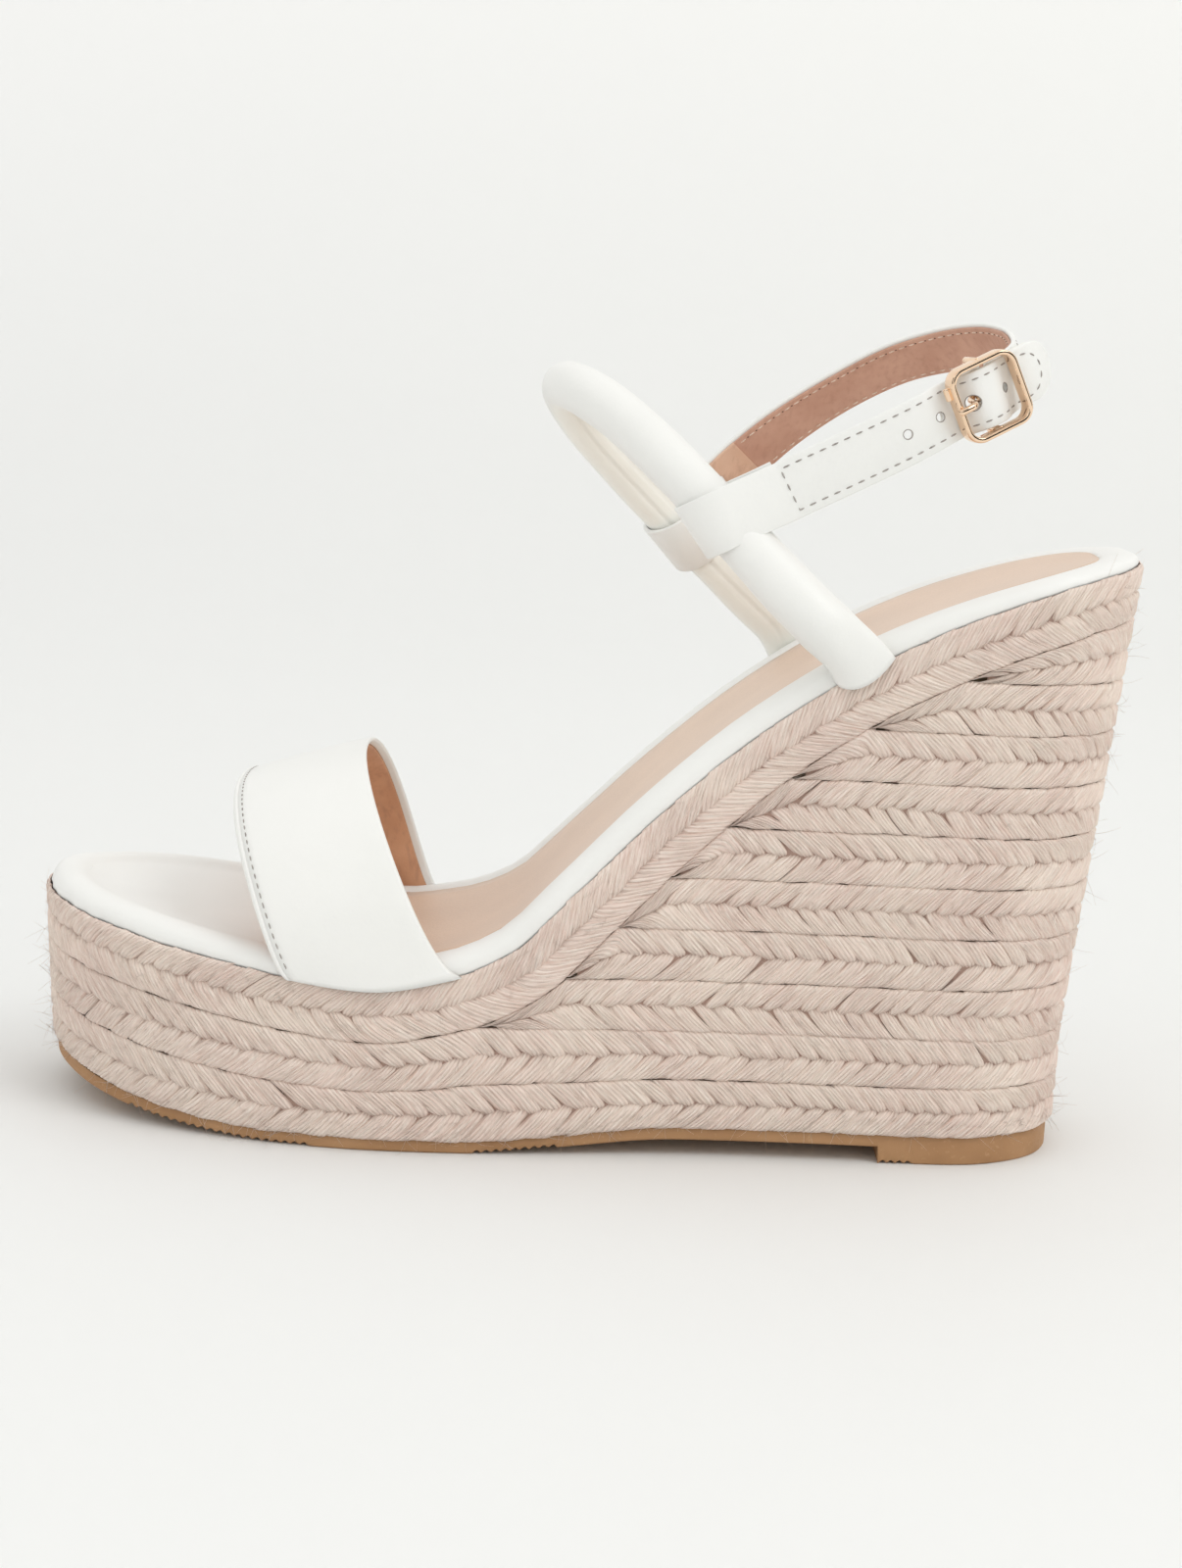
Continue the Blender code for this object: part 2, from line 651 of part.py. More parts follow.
# Route of each strap's middle, then the angle in degrees by which its top edge leans away from the leg.
LATERAL_STRAP = [
    (33.5, -32.1, 132.3, 0), (39.0, -32.4, 135.4, 0), (48.0, -32.4, 140.2, 0), (58.0, -31.4, 145.6, 0),
    (*at_buckle(-11.5, -1.1), 0), (*at_buckle(-7.0, -1.9), 0), (*at_buckle(-4.6, -1.0), 0),
    (*at_buckle(-1.6, 0.95), 0), (*at_buckle(1.6, 0.95), 0), (*at_buckle(4.6, -1.0), 0),
    (*at_buckle(7.0, -1.9), 0), (*at_buckle(11.0, -2.3), 0), (*at_buckle(16.5, -4.2), 0),
]
HEEL_STRAP = [
    (*at_buckle(2.6, BAR_DEPTH - 0.6), 0), (*at_buckle(5.5, -4.3), 0), (*at_buckle(9.5, -5.8), -6),
    (81.8, -14.0, 160.6, -20), (81.6, -4.0, 162.6, -32), (77.8, 6.0, 163.4, -40), (70.6, 14.4, 162.2, -46),
    (61.0, 20.4, 158.8, -50), (50.0, 24.6, 152.4, -50), (38.6, 27.4, 144.0, -42), (29.6, 28.6, 135.4, -30),
    (24.6, 28.6, 129.6, -22),
]


def strap_frames(route, count):
    """Middles along a strap, with its outward and upward directions, which its small waves don't twist."""
    points = even_path(route, count)
    centres, lean = points[:, :3], np.radians(points[:, 3])[:, None]
    tangents = unit(np.gradient(centres, axis=0))
    window = round(CALM_REACH / arc_lengths(centres)[-1] * count)
    padded = np.pad(tangents, ((window, window), (0, 0)), mode="edge")
    calm = unit(np.stack([padded[i:i + 2 * window + 1].mean(axis=0) for i in range(count)]))
    up = unit(np.array([0.0, 0.0, 1.0]) - calm * calm[:, 2:3])
    up = unit(up - tangents * (up * tangents).sum(axis=1, keepdims=True))
    out = np.cross(tangents, up)
    return centres, out * np.cos(lean) - up * np.sin(lean), up * np.cos(lean) + out * np.sin(lean)


def strap_half_width(from_start, from_end, round_start, round_end):
    """Half of the strap's width, less near an end that is rounded."""
    half = STRAP_WIDTH / 2
    for distance, rounded in ((from_start, round_start), (from_end, round_end)):
        if rounded and distance < STRAP_END_RADIUS:
            reach = STRAP_END_RADIUS - max(distance, 0.25)
            half = min(half, math.sqrt(STRAP_END_RADIUS**2 - reach**2))
    return half


def strap_layer(name, route, count, top, thickness, rounded, look, parent, start=0.0, end=0.0):
    """One layer of a strap, its outer face `top` above the strap's middle; start and end shorten it."""
    centres, out, up = strap_frames(route, count)
    along = arc_lengths(centres)
    sections = []
    for i in range(count):
        if along[i] < start or along[-1] - along[i] < end:
            continue
        half = strap_half_width(along[i] - start, along[-1] - end - along[i], *rounded)
        corners = [(top, half), (top, -half), (top - thickness, -half), (top - thickness, half)]
        sections.append([centres[i] + out[i] * o + up[i] * w for o, w in corners])
    return sweep(name, sections, look, parent=parent)


def build_lateral_strap(outer_look, lining_look, parent):
    top = (STRAP_THICKNESS + GAP + STRAP_LINING_THICKNESS) / 2
    under = top - STRAP_THICKNESS - GAP
    rounded = (True, True)
    outer = strap_layer("perforated_strap", LATERAL_STRAP, 52, top, STRAP_THICKNESS, rounded,
                        outer_look, parent)
    lining = strap_layer("perforated_strap_lining", LATERAL_STRAP, 52, under, STRAP_LINING_THICKNESS,
                         rounded, lining_look, parent)
    centres, out, _ = strap_frames(LATERAL_STRAP, 241)
    for k in range(-HOLES_BEFORE_PRONG, HOLES_AFTER_PRONG + 1):
        wanted = PRONG_HOLE + k * HOLE_PITCH
        nearest = np.argmin(np.abs((centres - np.array(BUCKLE_CENTRE)) @ ALONG - wanted))
        radius = HOLE_RADIUS if k else PRONG_HOLE_RADIUS
        cutter = cylinder_cutter(f"hole_cutter_{k + HOLES_BEFORE_PRONG + 1}", centres[nearest], out[nearest],
                                 radius, 8)
        for layer in (outer, lining):
            join_boolean(layer, cutter, "DIFFERENCE")


def build_heel_strap(outer_look, lining_look, parent):
    top = (STRAP_THICKNESS + GAP + STRAP_LINING_THICKNESS) / 2
    strap_layer("heel_strap", HEEL_STRAP, 40, top, STRAP_THICKNESS, (False, True), outer_look, parent)
    strap_layer("heel_strap_lining", HEEL_STRAP, 40, top - STRAP_THICKNESS - GAP, STRAP_LINING_THICKNESS,
                (False, True), lining_look, parent)


def build_buckle_fold(look, parent):
    """The heel strap's end, folded round the centre bar in two halves that leave a slot for the prong."""
    inner, outer = BAR_RADIUS + 0.25, BAR_RADIUS + 1.05
    half = STRAP_WIDTH / 2 - 0.2
    bar = at_buckle(0, BAR_DEPTH)
    sections = []
    for angle in np.linspace(0, 2 * math.pi, 16, endpoint=False):
        way = math.cos(angle) * ALONG + math.sin(angle) * OUT
        sections.append([bar + way * r + ACROSS * w for r, w in
                         ((inner, -half), (inner, half), (outer, half), (outer, -half))])
    fold = sweep("heel_strap_buckle_fold", sections, look, closed=True, parent=parent)
    slot_corners = [(-3, -1), (1.2, -1), (1.2, 1), (-3, 1)]
    slot_sides = [ACROSS * w * PRONG_SLOT / 2 for w in (-1, 1)]
    slot = sweep("slot_cutter", [[bar + ALONG * a + OUT * o * 3 + side for a, o in slot_corners]
                                 for side in slot_sides], look)
    hide_cutter(slot)
    join_boolean(fold, slot, "DIFFERENCE")


def rounded_rectangle(half_length, half_width, corner, steps):
    points = []
    for quarter in range(4):
        cx = (half_length - corner) * (1 if quarter in (0, 3) else -1)
        cy = (half_width - corner) * (1 if quarter in (0, 1) else -1)
        for step in range(steps + 1):
            angle = math.pi / 2 * (quarter + step / steps)
            points.append((cx + corner * math.cos(angle), cy + corner * math.sin(angle)))
    return np.array(points)


def build_buckle_frame(look, parent):
    """A rounded frame with a sunken centre bar between two lugs."""
    path = rounded_rectangle(BUCKLE_HALF_LENGTH, BUCKLE_HALF_WIDTH, BUCKLE_CORNER, 4)
    tangents = unit(np.roll(path, -1, axis=0) - np.roll(path, 1, axis=0))
    sections = []
    for (u, v), (tu, tv) in zip(path, tangents):
        ring = []
        for angle in np.linspace(0, 2 * math.pi, 10, endpoint=False):
            side, lift = BUCKLE_WIRE[0] * math.cos(angle), BUCKLE_WIRE[1] * math.sin(angle)
            ring.append(at_buckle(u + side * tv, BUCKLE_LIFT + lift, v - side * tu))
        sections.append(ring)
    bar_centre = at_buckle(0, BAR_DEPTH)
    frame = sweep("buckle_frame", sections, look, closed=True, origin=tuple(bar_centre), parent=parent)
    reach = BUCKLE_HALF_WIDTH + BAR_LUG_RADIUS
    join_boolean(frame, cylinder_cutter("centre_bar", bar_centre, ACROSS, BAR_RADIUS, 2 * reach), "UNION")
    for side in (-1, 1):
        middle = at_buckle(0, (BAR_DEPTH + BUCKLE_LIFT) / 2, side * BUCKLE_HALF_WIDTH)
        depth = BUCKLE_LIFT - BAR_DEPTH + BAR_RADIUS
        name = "bar_lug_lower" if side < 0 else "bar_lug_upper"
        lug = cylinder_cutter(name, middle, OUT, BAR_LUG_RADIUS, depth)
        join_boolean(frame, lug, "UNION")


def build_prong(look, parent):
    """A bent pin that hooks round the centre bar, rises through a hole and rests on the frame."""
    hook = BAR_RADIUS + 0.12 + PRONG_RADIUS
    route = []
    for degrees in (-80, -110, -140, -170):
        angle = math.radians(degrees)
        route.append(at_buckle(hook * math.cos(angle), BAR_DEPTH + hook * math.sin(angle)))
    rest = BUCKLE_LIFT + BUCKLE_WIRE[1] + PRONG_RADIUS + 0.1
    route += [at_buckle(-2.6, -1.7), at_buckle(-3.1, 0.4), at_buckle(-3.5, 2.2), at_buckle(-4.6, rest - 0.3),
              at_buckle(-6.4, rest + 0.1), at_buckle(-8.2, rest + 0.1)]
    centres = even_path(route, 26)
    tangents = unit(np.gradient(centres, axis=0))
    sections = []
    for centre, tangent in zip(centres, tangents):
        square = unit(np.cross(tangent, ACROSS))
        sections.append([centre + PRONG_RADIUS * (math.cos(a) * ACROSS + math.sin(a) * square)
                         for a in np.linspace(0, 2 * math.pi, 8, endpoint=False)])
    return sweep("buckle_prong", sections, look, origin=tuple(at_buckle(0, BAR_DEPTH)), parent=parent)


def strap_hinge_point():
    """The middle of the ankle strap's swing axis, which joins the centres of the straps' rounded ends."""
    return (strap_end_centre(LATERAL_STRAP, 0) + strap_end_centre(HEEL_STRAP, -1)) / 2


def strap_end_centre(route, end):
    centres = even_path(route, 400)[:, :3]
    along = arc_lengths(centres)
    wanted = STRAP_END_RADIUS if end == 0 else along[-1] - STRAP_END_RADIUS
    return centres[np.argmin(np.abs(along - wanted))]


def main():
    jute = material("braided_jute", (0.72, 0.60, 0.52), 0.95)
    white = material("white_faux_leather", (0.90, 0.90, 0.88), 0.45)
    lining = material("lining_leather", (0.55, 0.33, 0.25), 0.75)
    rubber = material("gum_rubber", (0.42, 0.24, 0.12), 0.7)
    gold = material("pale_gold_metal", (0.90, 0.68, 0.45), 0.2, 1.0)
    tan = material("tan_sock_leather", (0.68, 0.52, 0.40), 0.7)
    foam = material("cream_foam", (0.85, 0.80, 0.68), 0.9)
    cork = material("wedge_board", (0.58, 0.45, 0.32), 0.9)

    build_outsole(rubber)
    build_wedge_core(cork)
    build_braids(jute)
    build_footbed(cork, foam, white, tan)
    build_vamp(white, lining)
    build_instep_tube(white, foam)

    loops = empty("strap_loops", LOOP_CENTRES["lateral"])
    for side in LOOP_CENTRES:
        build_strap_loop(side, white, loops)
    ankle_strap = empty("ankle_strap", strap_hinge_point(), loops)
    build_lateral_strap(white, white, ankle_strap)
    build_heel_strap(white, lining, ankle_strap)
    build_buckle_fold(white, ankle_strap)
    build_buckle_frame(gold, ankle_strap)
    build_prong(gold, ankle_strap)


clear_scene()
SANDAL = collection("wedge_sandal")
CUTTERS = collection("cutters", shown=False)
main()
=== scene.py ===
"""Looks of the wedge sandal, in the frame of its CAD model.

Lengths are in millimetres until a mesh is made. X runs from the toe (-) to the heel (+), Y from the foot's
outer side (-) to its inner side (+), and Z up from the ground, as in the frame.
"""

import math
import bmesh
import bpy
import numpy as np
from mathutils import Matrix, Vector


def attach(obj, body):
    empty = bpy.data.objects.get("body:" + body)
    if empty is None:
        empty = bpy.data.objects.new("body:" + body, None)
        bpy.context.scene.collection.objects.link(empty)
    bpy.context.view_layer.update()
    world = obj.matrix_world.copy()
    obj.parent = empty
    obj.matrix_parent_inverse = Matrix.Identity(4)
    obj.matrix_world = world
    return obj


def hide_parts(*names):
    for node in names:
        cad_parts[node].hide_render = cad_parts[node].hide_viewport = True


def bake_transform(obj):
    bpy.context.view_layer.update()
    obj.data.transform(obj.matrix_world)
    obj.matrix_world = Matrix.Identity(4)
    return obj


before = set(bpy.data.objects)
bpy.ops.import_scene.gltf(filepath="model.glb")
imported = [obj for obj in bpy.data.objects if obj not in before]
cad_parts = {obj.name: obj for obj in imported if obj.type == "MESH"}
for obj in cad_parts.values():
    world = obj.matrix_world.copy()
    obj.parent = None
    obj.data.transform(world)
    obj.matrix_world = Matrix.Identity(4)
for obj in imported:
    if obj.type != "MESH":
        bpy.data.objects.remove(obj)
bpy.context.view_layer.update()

MM = 0.001
RANDOM = np.random.default_rng(11)

# The frame's driving shapes, as its own source gives them.
FOOTBED_HEIGHTS = [
    (-114, 42.6), (-96, 39.6), (-76, 36.4), (-56, 33.6), (-40, 32.4), (-24, 35.2), (-12, 40.6),
    (0, 52.6), (16, 69.3), (35, 86.2), (56, 100.4), (78, 111.4), (98, 118.6), (113, 122.2),
]
SOLE_HEIGHTS = [(-114, 9.2), (-96, 4.6), (-78, 1.5), (-58, 0), (-20, 0), (-2, 1.4), (22, 3.4), (113, 3.4)]
OUTER_SIDE = [
    (-111.4, 5), (-108.5, -10), (-99, -24.5), (-84, -34.5), (-65, -41), (-42, -44.2), (-18, -42.6),
    (6, -38.6), (30, -35.2), (54, -33.6), (76, -32.6), (94, -29.8), (105.2, -21.6), (110.4, -11), (111.2, 0),
]
INNER_SIDE = [
    (110.4, 9.6), (104.8, 19.8), (93, 27.4), (74, 31), (52, 31.4), (28, 31.4), (6, 34), (-16, 39.4),
    (-38, 43.6), (-58, 44), (-77, 40.6), (-93, 33.4), (-104, 23), (-110, 12.5),
]
SOLE_THICKNESS = 2.7
SOLE_INSET = 0.7
SOLE_ROUNDING = 0.45
HEEL_BLOCK_FRONT = 63.5
TOOTH_ZONES = ((-88, -50, 1.9), (-18, -1, 1.9), (HEEL_BLOCK_FRONT + 0.3, 71, 1.7))
TOOTH_DEPTH = 0.75
BACK_SLOPE = 0.098
HEEL_FLARE = 1.8
HEEL_FLARE_HEIGHT = 30.0
TOE_SLOPE = 0.075
SEAM_GAP = 0.3

# Braids.
BRAID_WIDTH = 10.4
BRAID_DEPTH = 1.9
BRAID_PROUD = 0.55
YARN_HEIGHT = 0.45
RIM_LAP = 0.35
SECOND_ROW_TOP = 25.8
HEEL_ROWS = 8
LAST_ROW_EXTRA = 4.0
ROWS_PART_X = -30
WIDE_PITCH = 4.5
FINE_PITCH = 4.1
STRAND_POINTS = 25
STRAND_STEPS = 11
YARNS = 5
BACKING_SHAPE = (240, 4)
BACKING_DEPTH = 0.7
HAIRS = 3200
HAIR_REACH = 6.5
HAIR_RADIUS = 0.045
HAIR_STEPS = 5
HAIR_SIDES = 3

# Footbed.
RIM_PROFILE = [
    (3.4, 0.1), (1.7, 0.0), (0.8, 0.15), (0.55, 0.8), (0.65, 2.0), (1.0, 3.0), (1.7, 3.85), (2.7, 4.5),
    (4.1, 4.9), (5.7, 4.9), (7.1, 4.5), (8.0, 3.9),
]
RIM_STATIONS = 150
FOOTBED_DISH = 1.3
FIRM_HEIGHT = 1.2
HEEL_THINNING = 0.5
SOCK_INSET = 8.2
SOCK_FRONT = -42
SOCK_THICKNESS = 0.3
FOAM_INSET = 9.5
FOAM_LIFTS = (3.0, 1.3)

# Vamp.
VAMP_FRONT_FEET = (-56.3, -65.0)
VAMP_BACK_FEET = (-21.8, -29.5)
VAMP_SWEEP = (0.7, 0.58)
VAMP_FRONT_TOP = (-71.6, 66.8)
VAMP_BACK_TOP = (-45.2, 75.6)
VAMP_ARCH_POWER = 2.35
FOOT_DEPTH = 0.2
VAMP_BULGE = 1.3
VAMP_LENGTH = 34.0
BINDING_WIDTH = 1.5
VAMP_FOLD = 0.012

# Instep tube.
TUBE_ROUTE = [
    (54.4, -34.6, 101.0), (51.6, -35.2, 103.8), (46.0, -34.8, 107.8), (36.5, -33.2, 116.2),
    (27.0, -30.4, 125.4), (18.0, -27.2, 134.0), (9.5, -22.8, 141.4), (1.8, -16.8, 147.2),
    (-4.8, -9.0, 150.6), (-8.0, 0.5, 151.0), (-6.8, 9.5, 147.6), (-1.8, 17.0, 141.2), (6.0, 22.6, 133.2),
    (15.2, 26.2, 124.4), (24.8, 28.8, 115.9), (34.0, 31.0, 107.6), (41.6, 32.4, 101.0), (44.4, 32.6, 98.2),
    (46.2, 32.4, 96.0),
]
TUBE_RADII = [(0.0, 5.0), (0.06, 5.8), (0.2, 5.3), (0.5, 4.9), (0.75, 5.3), (0.94, 5.8), (1.0, 5.0)]
TUBE_FOOT_HALF_LENGTH = 7.4
TUBE_FOOT_HALF_THICKNESS = 1.5
TUBE_FOOT_REACH = 11.0
TUBE_FOOT_BULGE = 2.6
TUBE_LOOP_NORMAL = (1.0, 0.0, 0.8)
TUBE_LOOP_MIDDLE = (20.0, 0.0, 115.0)

# Straps.
WRAP_CENTRES = {"lateral": (24.6, -29.5, 127.8), "medial": (19.2, 27.4, 120.8)}
WRAP_TILT = {"lateral": 0.0, "medial": math.radians(12)}
WRAP_RADII = (6.5, 6.2)
WRAP_FOLLOW = 0.45
WRAP_ARC = (-80, -286)
WRAP_STEPS = 26
WRAP_REACH = 3.0
WRAP_JOIN = 3.5
LATERAL_PIVOT = (38.63, -32.39, 135.19)
MEDIAL_PIVOT = (28.47, 28.65, 134.18)
BOX_STITCH_START = (37.0, -32.4, 134.4)
STRAP_WIDTH = 11.8
BEND_REACH = 4.0
DOUBLED_LENGTH = 12.5
STRAP_END_RADIUS = 5.9
STRIP_STEP = 0.4
STRIP_ROUNDING = 0.28
CALM_REACH = 7.0
STITCH_INSET = 1.5
STITCH_SIDES = 6
HOLE_RADIUS = 0.95
HOLE_SIDES = 28
PRONG_HOLE_RADIUS = 1.6
HOLE_PITCH = 7.2
PRONG_HOLE = -3.2

# Buckle.
BUCKLE_CENTRE = (74.3, -27.6, 154.4)
BUCKLE_RISE = math.radians(26.5)
BUCKLE_YAW = math.radians(20)
BUCKLE_HALF_LENGTH = 7.0
BUCKLE_HALF_WIDTH = 7.2
BUCKLE_CORNER = 2.9
BUCKLE_WIRE = (0.62, 1.8)
BUCKLE_SQUARENESS = 2 / 3.6
BUCKLE_FRONT = 3.25
BUCKLE_LIFT = 1.9
BAR_RADIUS = 0.8
BAR_DEPTH = -2.8
PRONG_RADIUS = 0.6
PRONG_SLOT = 2.0

# The camera, which stands upright, its sensor along the long side.
CAMERA_PLACE = (1.6, -620.0, 168.0)
CAMERA_AIM = (1.6, 0.0, 69.0)
CAMERA_ROLL = math.radians(3.2)
CAMERA_LENS = 69.05

# Black cards round the set: middle, width and height.
CARDS = [
    ((-200, -1700, 350), 900, 1300), ((1250, -1150, 250), 1800, 1900), ((-1500, -500, 300), 900, 1500),
    ((0, -1100, 1700), 2400, 300), ((1500, 400, 300), 500, 1200),
]


# --- smooth curves ---


def unit(vectors):
    vectors = np.asarray(vectors, float)
    return vectors / np.linalg.norm(vectors, axis=-1, keepdims=True)


def smooth_step(x, low, high):
    t = np.clip((x - low) / (high - low), 0, 1)
    return t * t * (3 - 2 * t)


def height_profile(points):
    """A smooth height for any x, which never swings past the given points."""
    xs, zs = np.array(points, float).T
    slopes = np.diff(zs) / np.diff(xs)
    inner = np.zeros(len(slopes) - 1)
    same_way = slopes[:-1] * slopes[1:] > 0
    inner[same_way] = 2 / (1 / slopes[:-1][same_way] + 1 / slopes[1:][same_way])
    tangents = np.concatenate([slopes[:1], inner, slopes[-1:]])

    def height(x):
        i = np.clip(np.searchsorted(xs, x) - 1, 0, len(slopes) - 1)
        step = xs[i + 1] - xs[i]
        t = np.clip((x - xs[i]) / step, 0, 1)
        rise = zs[i] * (2 * t**3 - 3 * t**2 + 1) + zs[i + 1] * (3 * t**2 - 2 * t**3)
        return rise + step * (tangents[i] * (t**3 - 2 * t**2 + t) + tangents[i + 1] * (t**3 - t**2))

    return height


def smooth_path(points, steps, closed=False):
    """Points on a smooth curve through the given ones, `steps` to each stretch."""
    knots = np.array(points, float)
    if closed:
        knots = np.vstack([knots[-2:], knots, knots[:3]])
    else:
        knots = np.vstack([2 * knots[0] - knots[1], knots, 2 * knots[-1] - knots[-2]])
    path = []
    t = np.linspace(0, 1, steps, endpoint=False)[:, None]
    for a, b, c, d in zip(knots[:-3], knots[1:-2], knots[2:-1], knots[3:]):
        ab, bc, cd = (math.sqrt(np.linalg.norm(q - p)) for p, q in ((a, b), (b, c), (c, d)))
        leave = c - b + bc * ((b - a) / ab - (c - a) / (ab + bc))
        reach = c - b + bc * ((d - c) / cd - (d - b) / (bc + cd))
        bend = t**2 * (3 * (c - b) - 2 * leave - reach) + t**3 * (2 * (b - c) + leave + reach)
        path.append(b + t * leave + bend)
    path = np.vstack(path + [knots[-2][None]])
    return path[steps:-1 - steps] if closed else path


def arc_lengths(path):
    return np.concatenate([[0], np.cumsum(np.linalg.norm(np.diff(path, axis=0), axis=1))])


def read_off(where, along, values):
    """The rows of values at any distances, from their rows at the distances given."""
    return np.stack([np.interp(where, along, column) for column in np.transpose(values)], axis=-1)


def even_path(points, count, steps=24):
    """`count` evenly spaced points on a smooth curve through the given ones."""
    path = smooth_path(points, steps)
    along = arc_lengths(path)
    return read_off(np.linspace(0, along[-1], count), along, path)


def turn_angles(count):
    return np.linspace(0, 2 * math.pi, count, endpoint=False)


def rings_round(line, first, second, radius, sides):
    """Rings of points round every point of a line, in the plane of two directions there."""
    angles = turn_angles(sides)[:, None]
    ways = np.cos(angles) * first[..., None, :] + np.sin(angles) * second[..., None, :]
    return line[..., None, :] + radius[..., None, None] * ways


footbed_height = height_profile(FOOTBED_HEIGHTS)
sole_height = height_profile(SOLE_HEIGHTS)


# --- the sandal's edge ---


def edge_curve():
    """The closed plan outline, from the toe round the outer side, the heel and the inner side."""
    path = smooth_path(OUTER_SIDE + INNER_SIDE, 24, closed=True)
    path = np.roll(path, -np.argmin(path[:, 0]), axis=0)
    return np.vstack([path, path[:1]])


EDGE = edge_curve()
EDGE_ALONG = arc_lengths(EDGE)
EDGE_LENGTH = EDGE_ALONG[-1]
HEEL_ALONG = EDGE_ALONG[np.argmax(EDGE[:, 0])]
EDGE_TANGENTS = unit(np.gradient(EDGE[:-1], axis=0))
EDGE_OUTWARD = np.stack([EDGE_TANGENTS[:, 1], -EDGE_TANGENTS[:, 0]], axis=1)
EDGE_OUTWARD = np.vstack([EDGE_OUTWARD, EDGE_OUTWARD[:1]])
if EDGE_OUTWARD[np.argmin(EDGE[:, 1]), 1] > 0:
    EDGE_OUTWARD = -EDGE_OUTWARD


def edge_outward(along):
    return read_off(np.mod(along, EDGE_LENGTH), EDGE_ALONG, EDGE_OUTWARD)


def edge_point(along, inset=0.0):
    """Plan position at a distance along the edge, moved inwards by inset."""
    plan = read_off(np.mod(along, EDGE_LENGTH), EDGE_ALONG, EDGE)
    return plan - np.asarray(inset, float)[..., None] * edge_outward(along)


def wall_point(along, height, inset):
    """A point of the wedge's side wall, which leans in under the heel and under the toe."""
    edge_x = edge_point(along)[..., 0]
    plan = edge_point(along, inset)
    drop = footbed_height(edge_x) - height
    lean = BACK_SLOPE * smooth_step(edge_x, 20, 105) - TOE_SLOPE * smooth_step(-edge_x, 70, 108)
    flare = HEEL_FLARE * smooth_step(edge_x, 80, 108) * (1 - smooth_step(height, 0, HEEL_FLARE_HEIGHT))
    return np.stack([plan[..., 0] - lean * drop + flare, plan[..., 1], height + 0 * drop], axis=-1)


def edge_height(along):
    return footbed_height(edge_point(along)[..., 0])


def edge_slope(along):
    return edge_height(along + 0.5) - edge_height(along - 0.5)


def below_edge(along, drop):
    """(along, height) of a point moved square to the footbed's edge, down the wall."""
    slope = edge_slope(along)
    length = np.sqrt(1 + slope**2)
    return along + drop * slope / length, edge_height(along) - drop / length


def band_bottom_curve():
    along = np.linspace(-0.2 * EDGE_LENGTH, 1.2 * EDGE_LENGTH, 2400)
    moved, height = below_edge(along, BRAID_WIDTH)
    order = np.argsort(moved)
    return moved[order], height[order]


BAND_ALONG, BAND_BOTTOM = band_bottom_curve()


def top_band_bottom(along):
    return np.interp(np.mod(along, EDGE_LENGTH), BAND_ALONG, BAND_BOTTOM)


def jute_bottom(along):
    """Where the braid meets the outsole."""
    return sole_height(edge_point(along)[..., 0]) + SOLE_THICKNESS + SEAM_GAP


def second_row_top(along):
    band = top_band_bottom(along) - SEAM_GAP
    forefoot = edge_point(along)[..., 0] < ROWS_PART_X
    return np.where(forefoot, band, np.minimum(band, SECOND_ROW_TOP))


def first_row_top(along):
    return (jute_bottom(along) + second_row_top(along) - SEAM_GAP) / 2


def rim_stations(count):
    """Distances along the edge, closer together round the toe and the heel, as many on each side."""
    even = np.linspace(0, 1, count // 2, endpoint=False)
    eased = even - 0.4 * np.sin(2 * math.pi * even) / (2 * math.pi)
    return np.concatenate([eased * HEEL_ALONG, HEEL_ALONG + eased * (EDGE_LENGTH - HEEL_ALONG)])


def on_footbed(plan, lift):
    """Points over plan positions, lifted square to the footbed's profile."""
    x = plan[..., 0]
    slope = footbed_height(x + 0.5) - footbed_height(x - 0.5)
    length = np.sqrt(1 + slope**2)
    lift = lift - HEEL_THINNING * smooth_step(x, 50, 108) * np.maximum(0, lift - FIRM_HEIGHT)
    return np.stack([x - lift * slope / length, plan[..., 1], footbed_height(x) + lift / length], axis=-1)


# --- meshes ---


def grid_faces(rows, columns, close_rows=False, close_columns=False):
    """Quads over a grid of points stored row by row."""
    i = np.arange(rows if close_rows else rows - 1)[:, None]
    j = np.arange(columns if close_columns else columns - 1)[None, :]
    next_i, next_j = (i + 1) % rows, (j + 1) % columns
    quads = [i * columns + j, next_i * columns + j, next_i * columns + next_j, i * columns + next_j]
    return np.stack(np.broadcast_arrays(*quads), axis=-1).reshape(-1, 4)


def copied_faces(quads, copies, size):
    """One patch's faces for each copy of its points, `size` points to a copy."""
    return (quads[None] + (np.arange(copies) * size)[:, None, None]).reshape(-1, 4)


def make_mesh(name, points, faces, look, uv=None, shade=None):
    """A smooth-shaded object; uv and shade are given per point."""
    mesh = bpy.data.meshes.new(name)
    mesh.from_pydata((np.asarray(points, float) * MM).tolist(), [], [list(map(int, face)) for face in faces])
    mesh.update()
    loops = np.empty(len(mesh.loops), np.int32)
    mesh.loops.foreach_get("vertex_index", loops)
    if uv is not None:
        layer = mesh.uv_layers.new(name="UVMap")
        layer.data.foreach_set("uv", np.asarray(uv, np.float32)[loops].ravel())
    if shade is not None:
        attribute = mesh.attributes.new("shade", "FLOAT", "POINT")
        attribute.data.foreach_set("value", np.asarray(shade, np.float32).ravel())
    mesh.materials.append(look)
    mesh.shade_smooth()
    obj = bpy.data.objects.new(name, mesh)
    bpy.context.scene.collection.objects.link(obj)
    return obj


def fix_normals(obj):
    """Joins points that coincide and turns every face of a closed mesh outwards."""
    shell = bmesh.new()
    shell.from_mesh(obj.data)
    bmesh.ops.remove_doubles(shell, verts=shell.verts, dist=1e-6)
    bmesh.ops.recalc_face_normals(shell, faces=shell.faces)
    shell.to_mesh(obj.data)
    shell.free()
    return obj


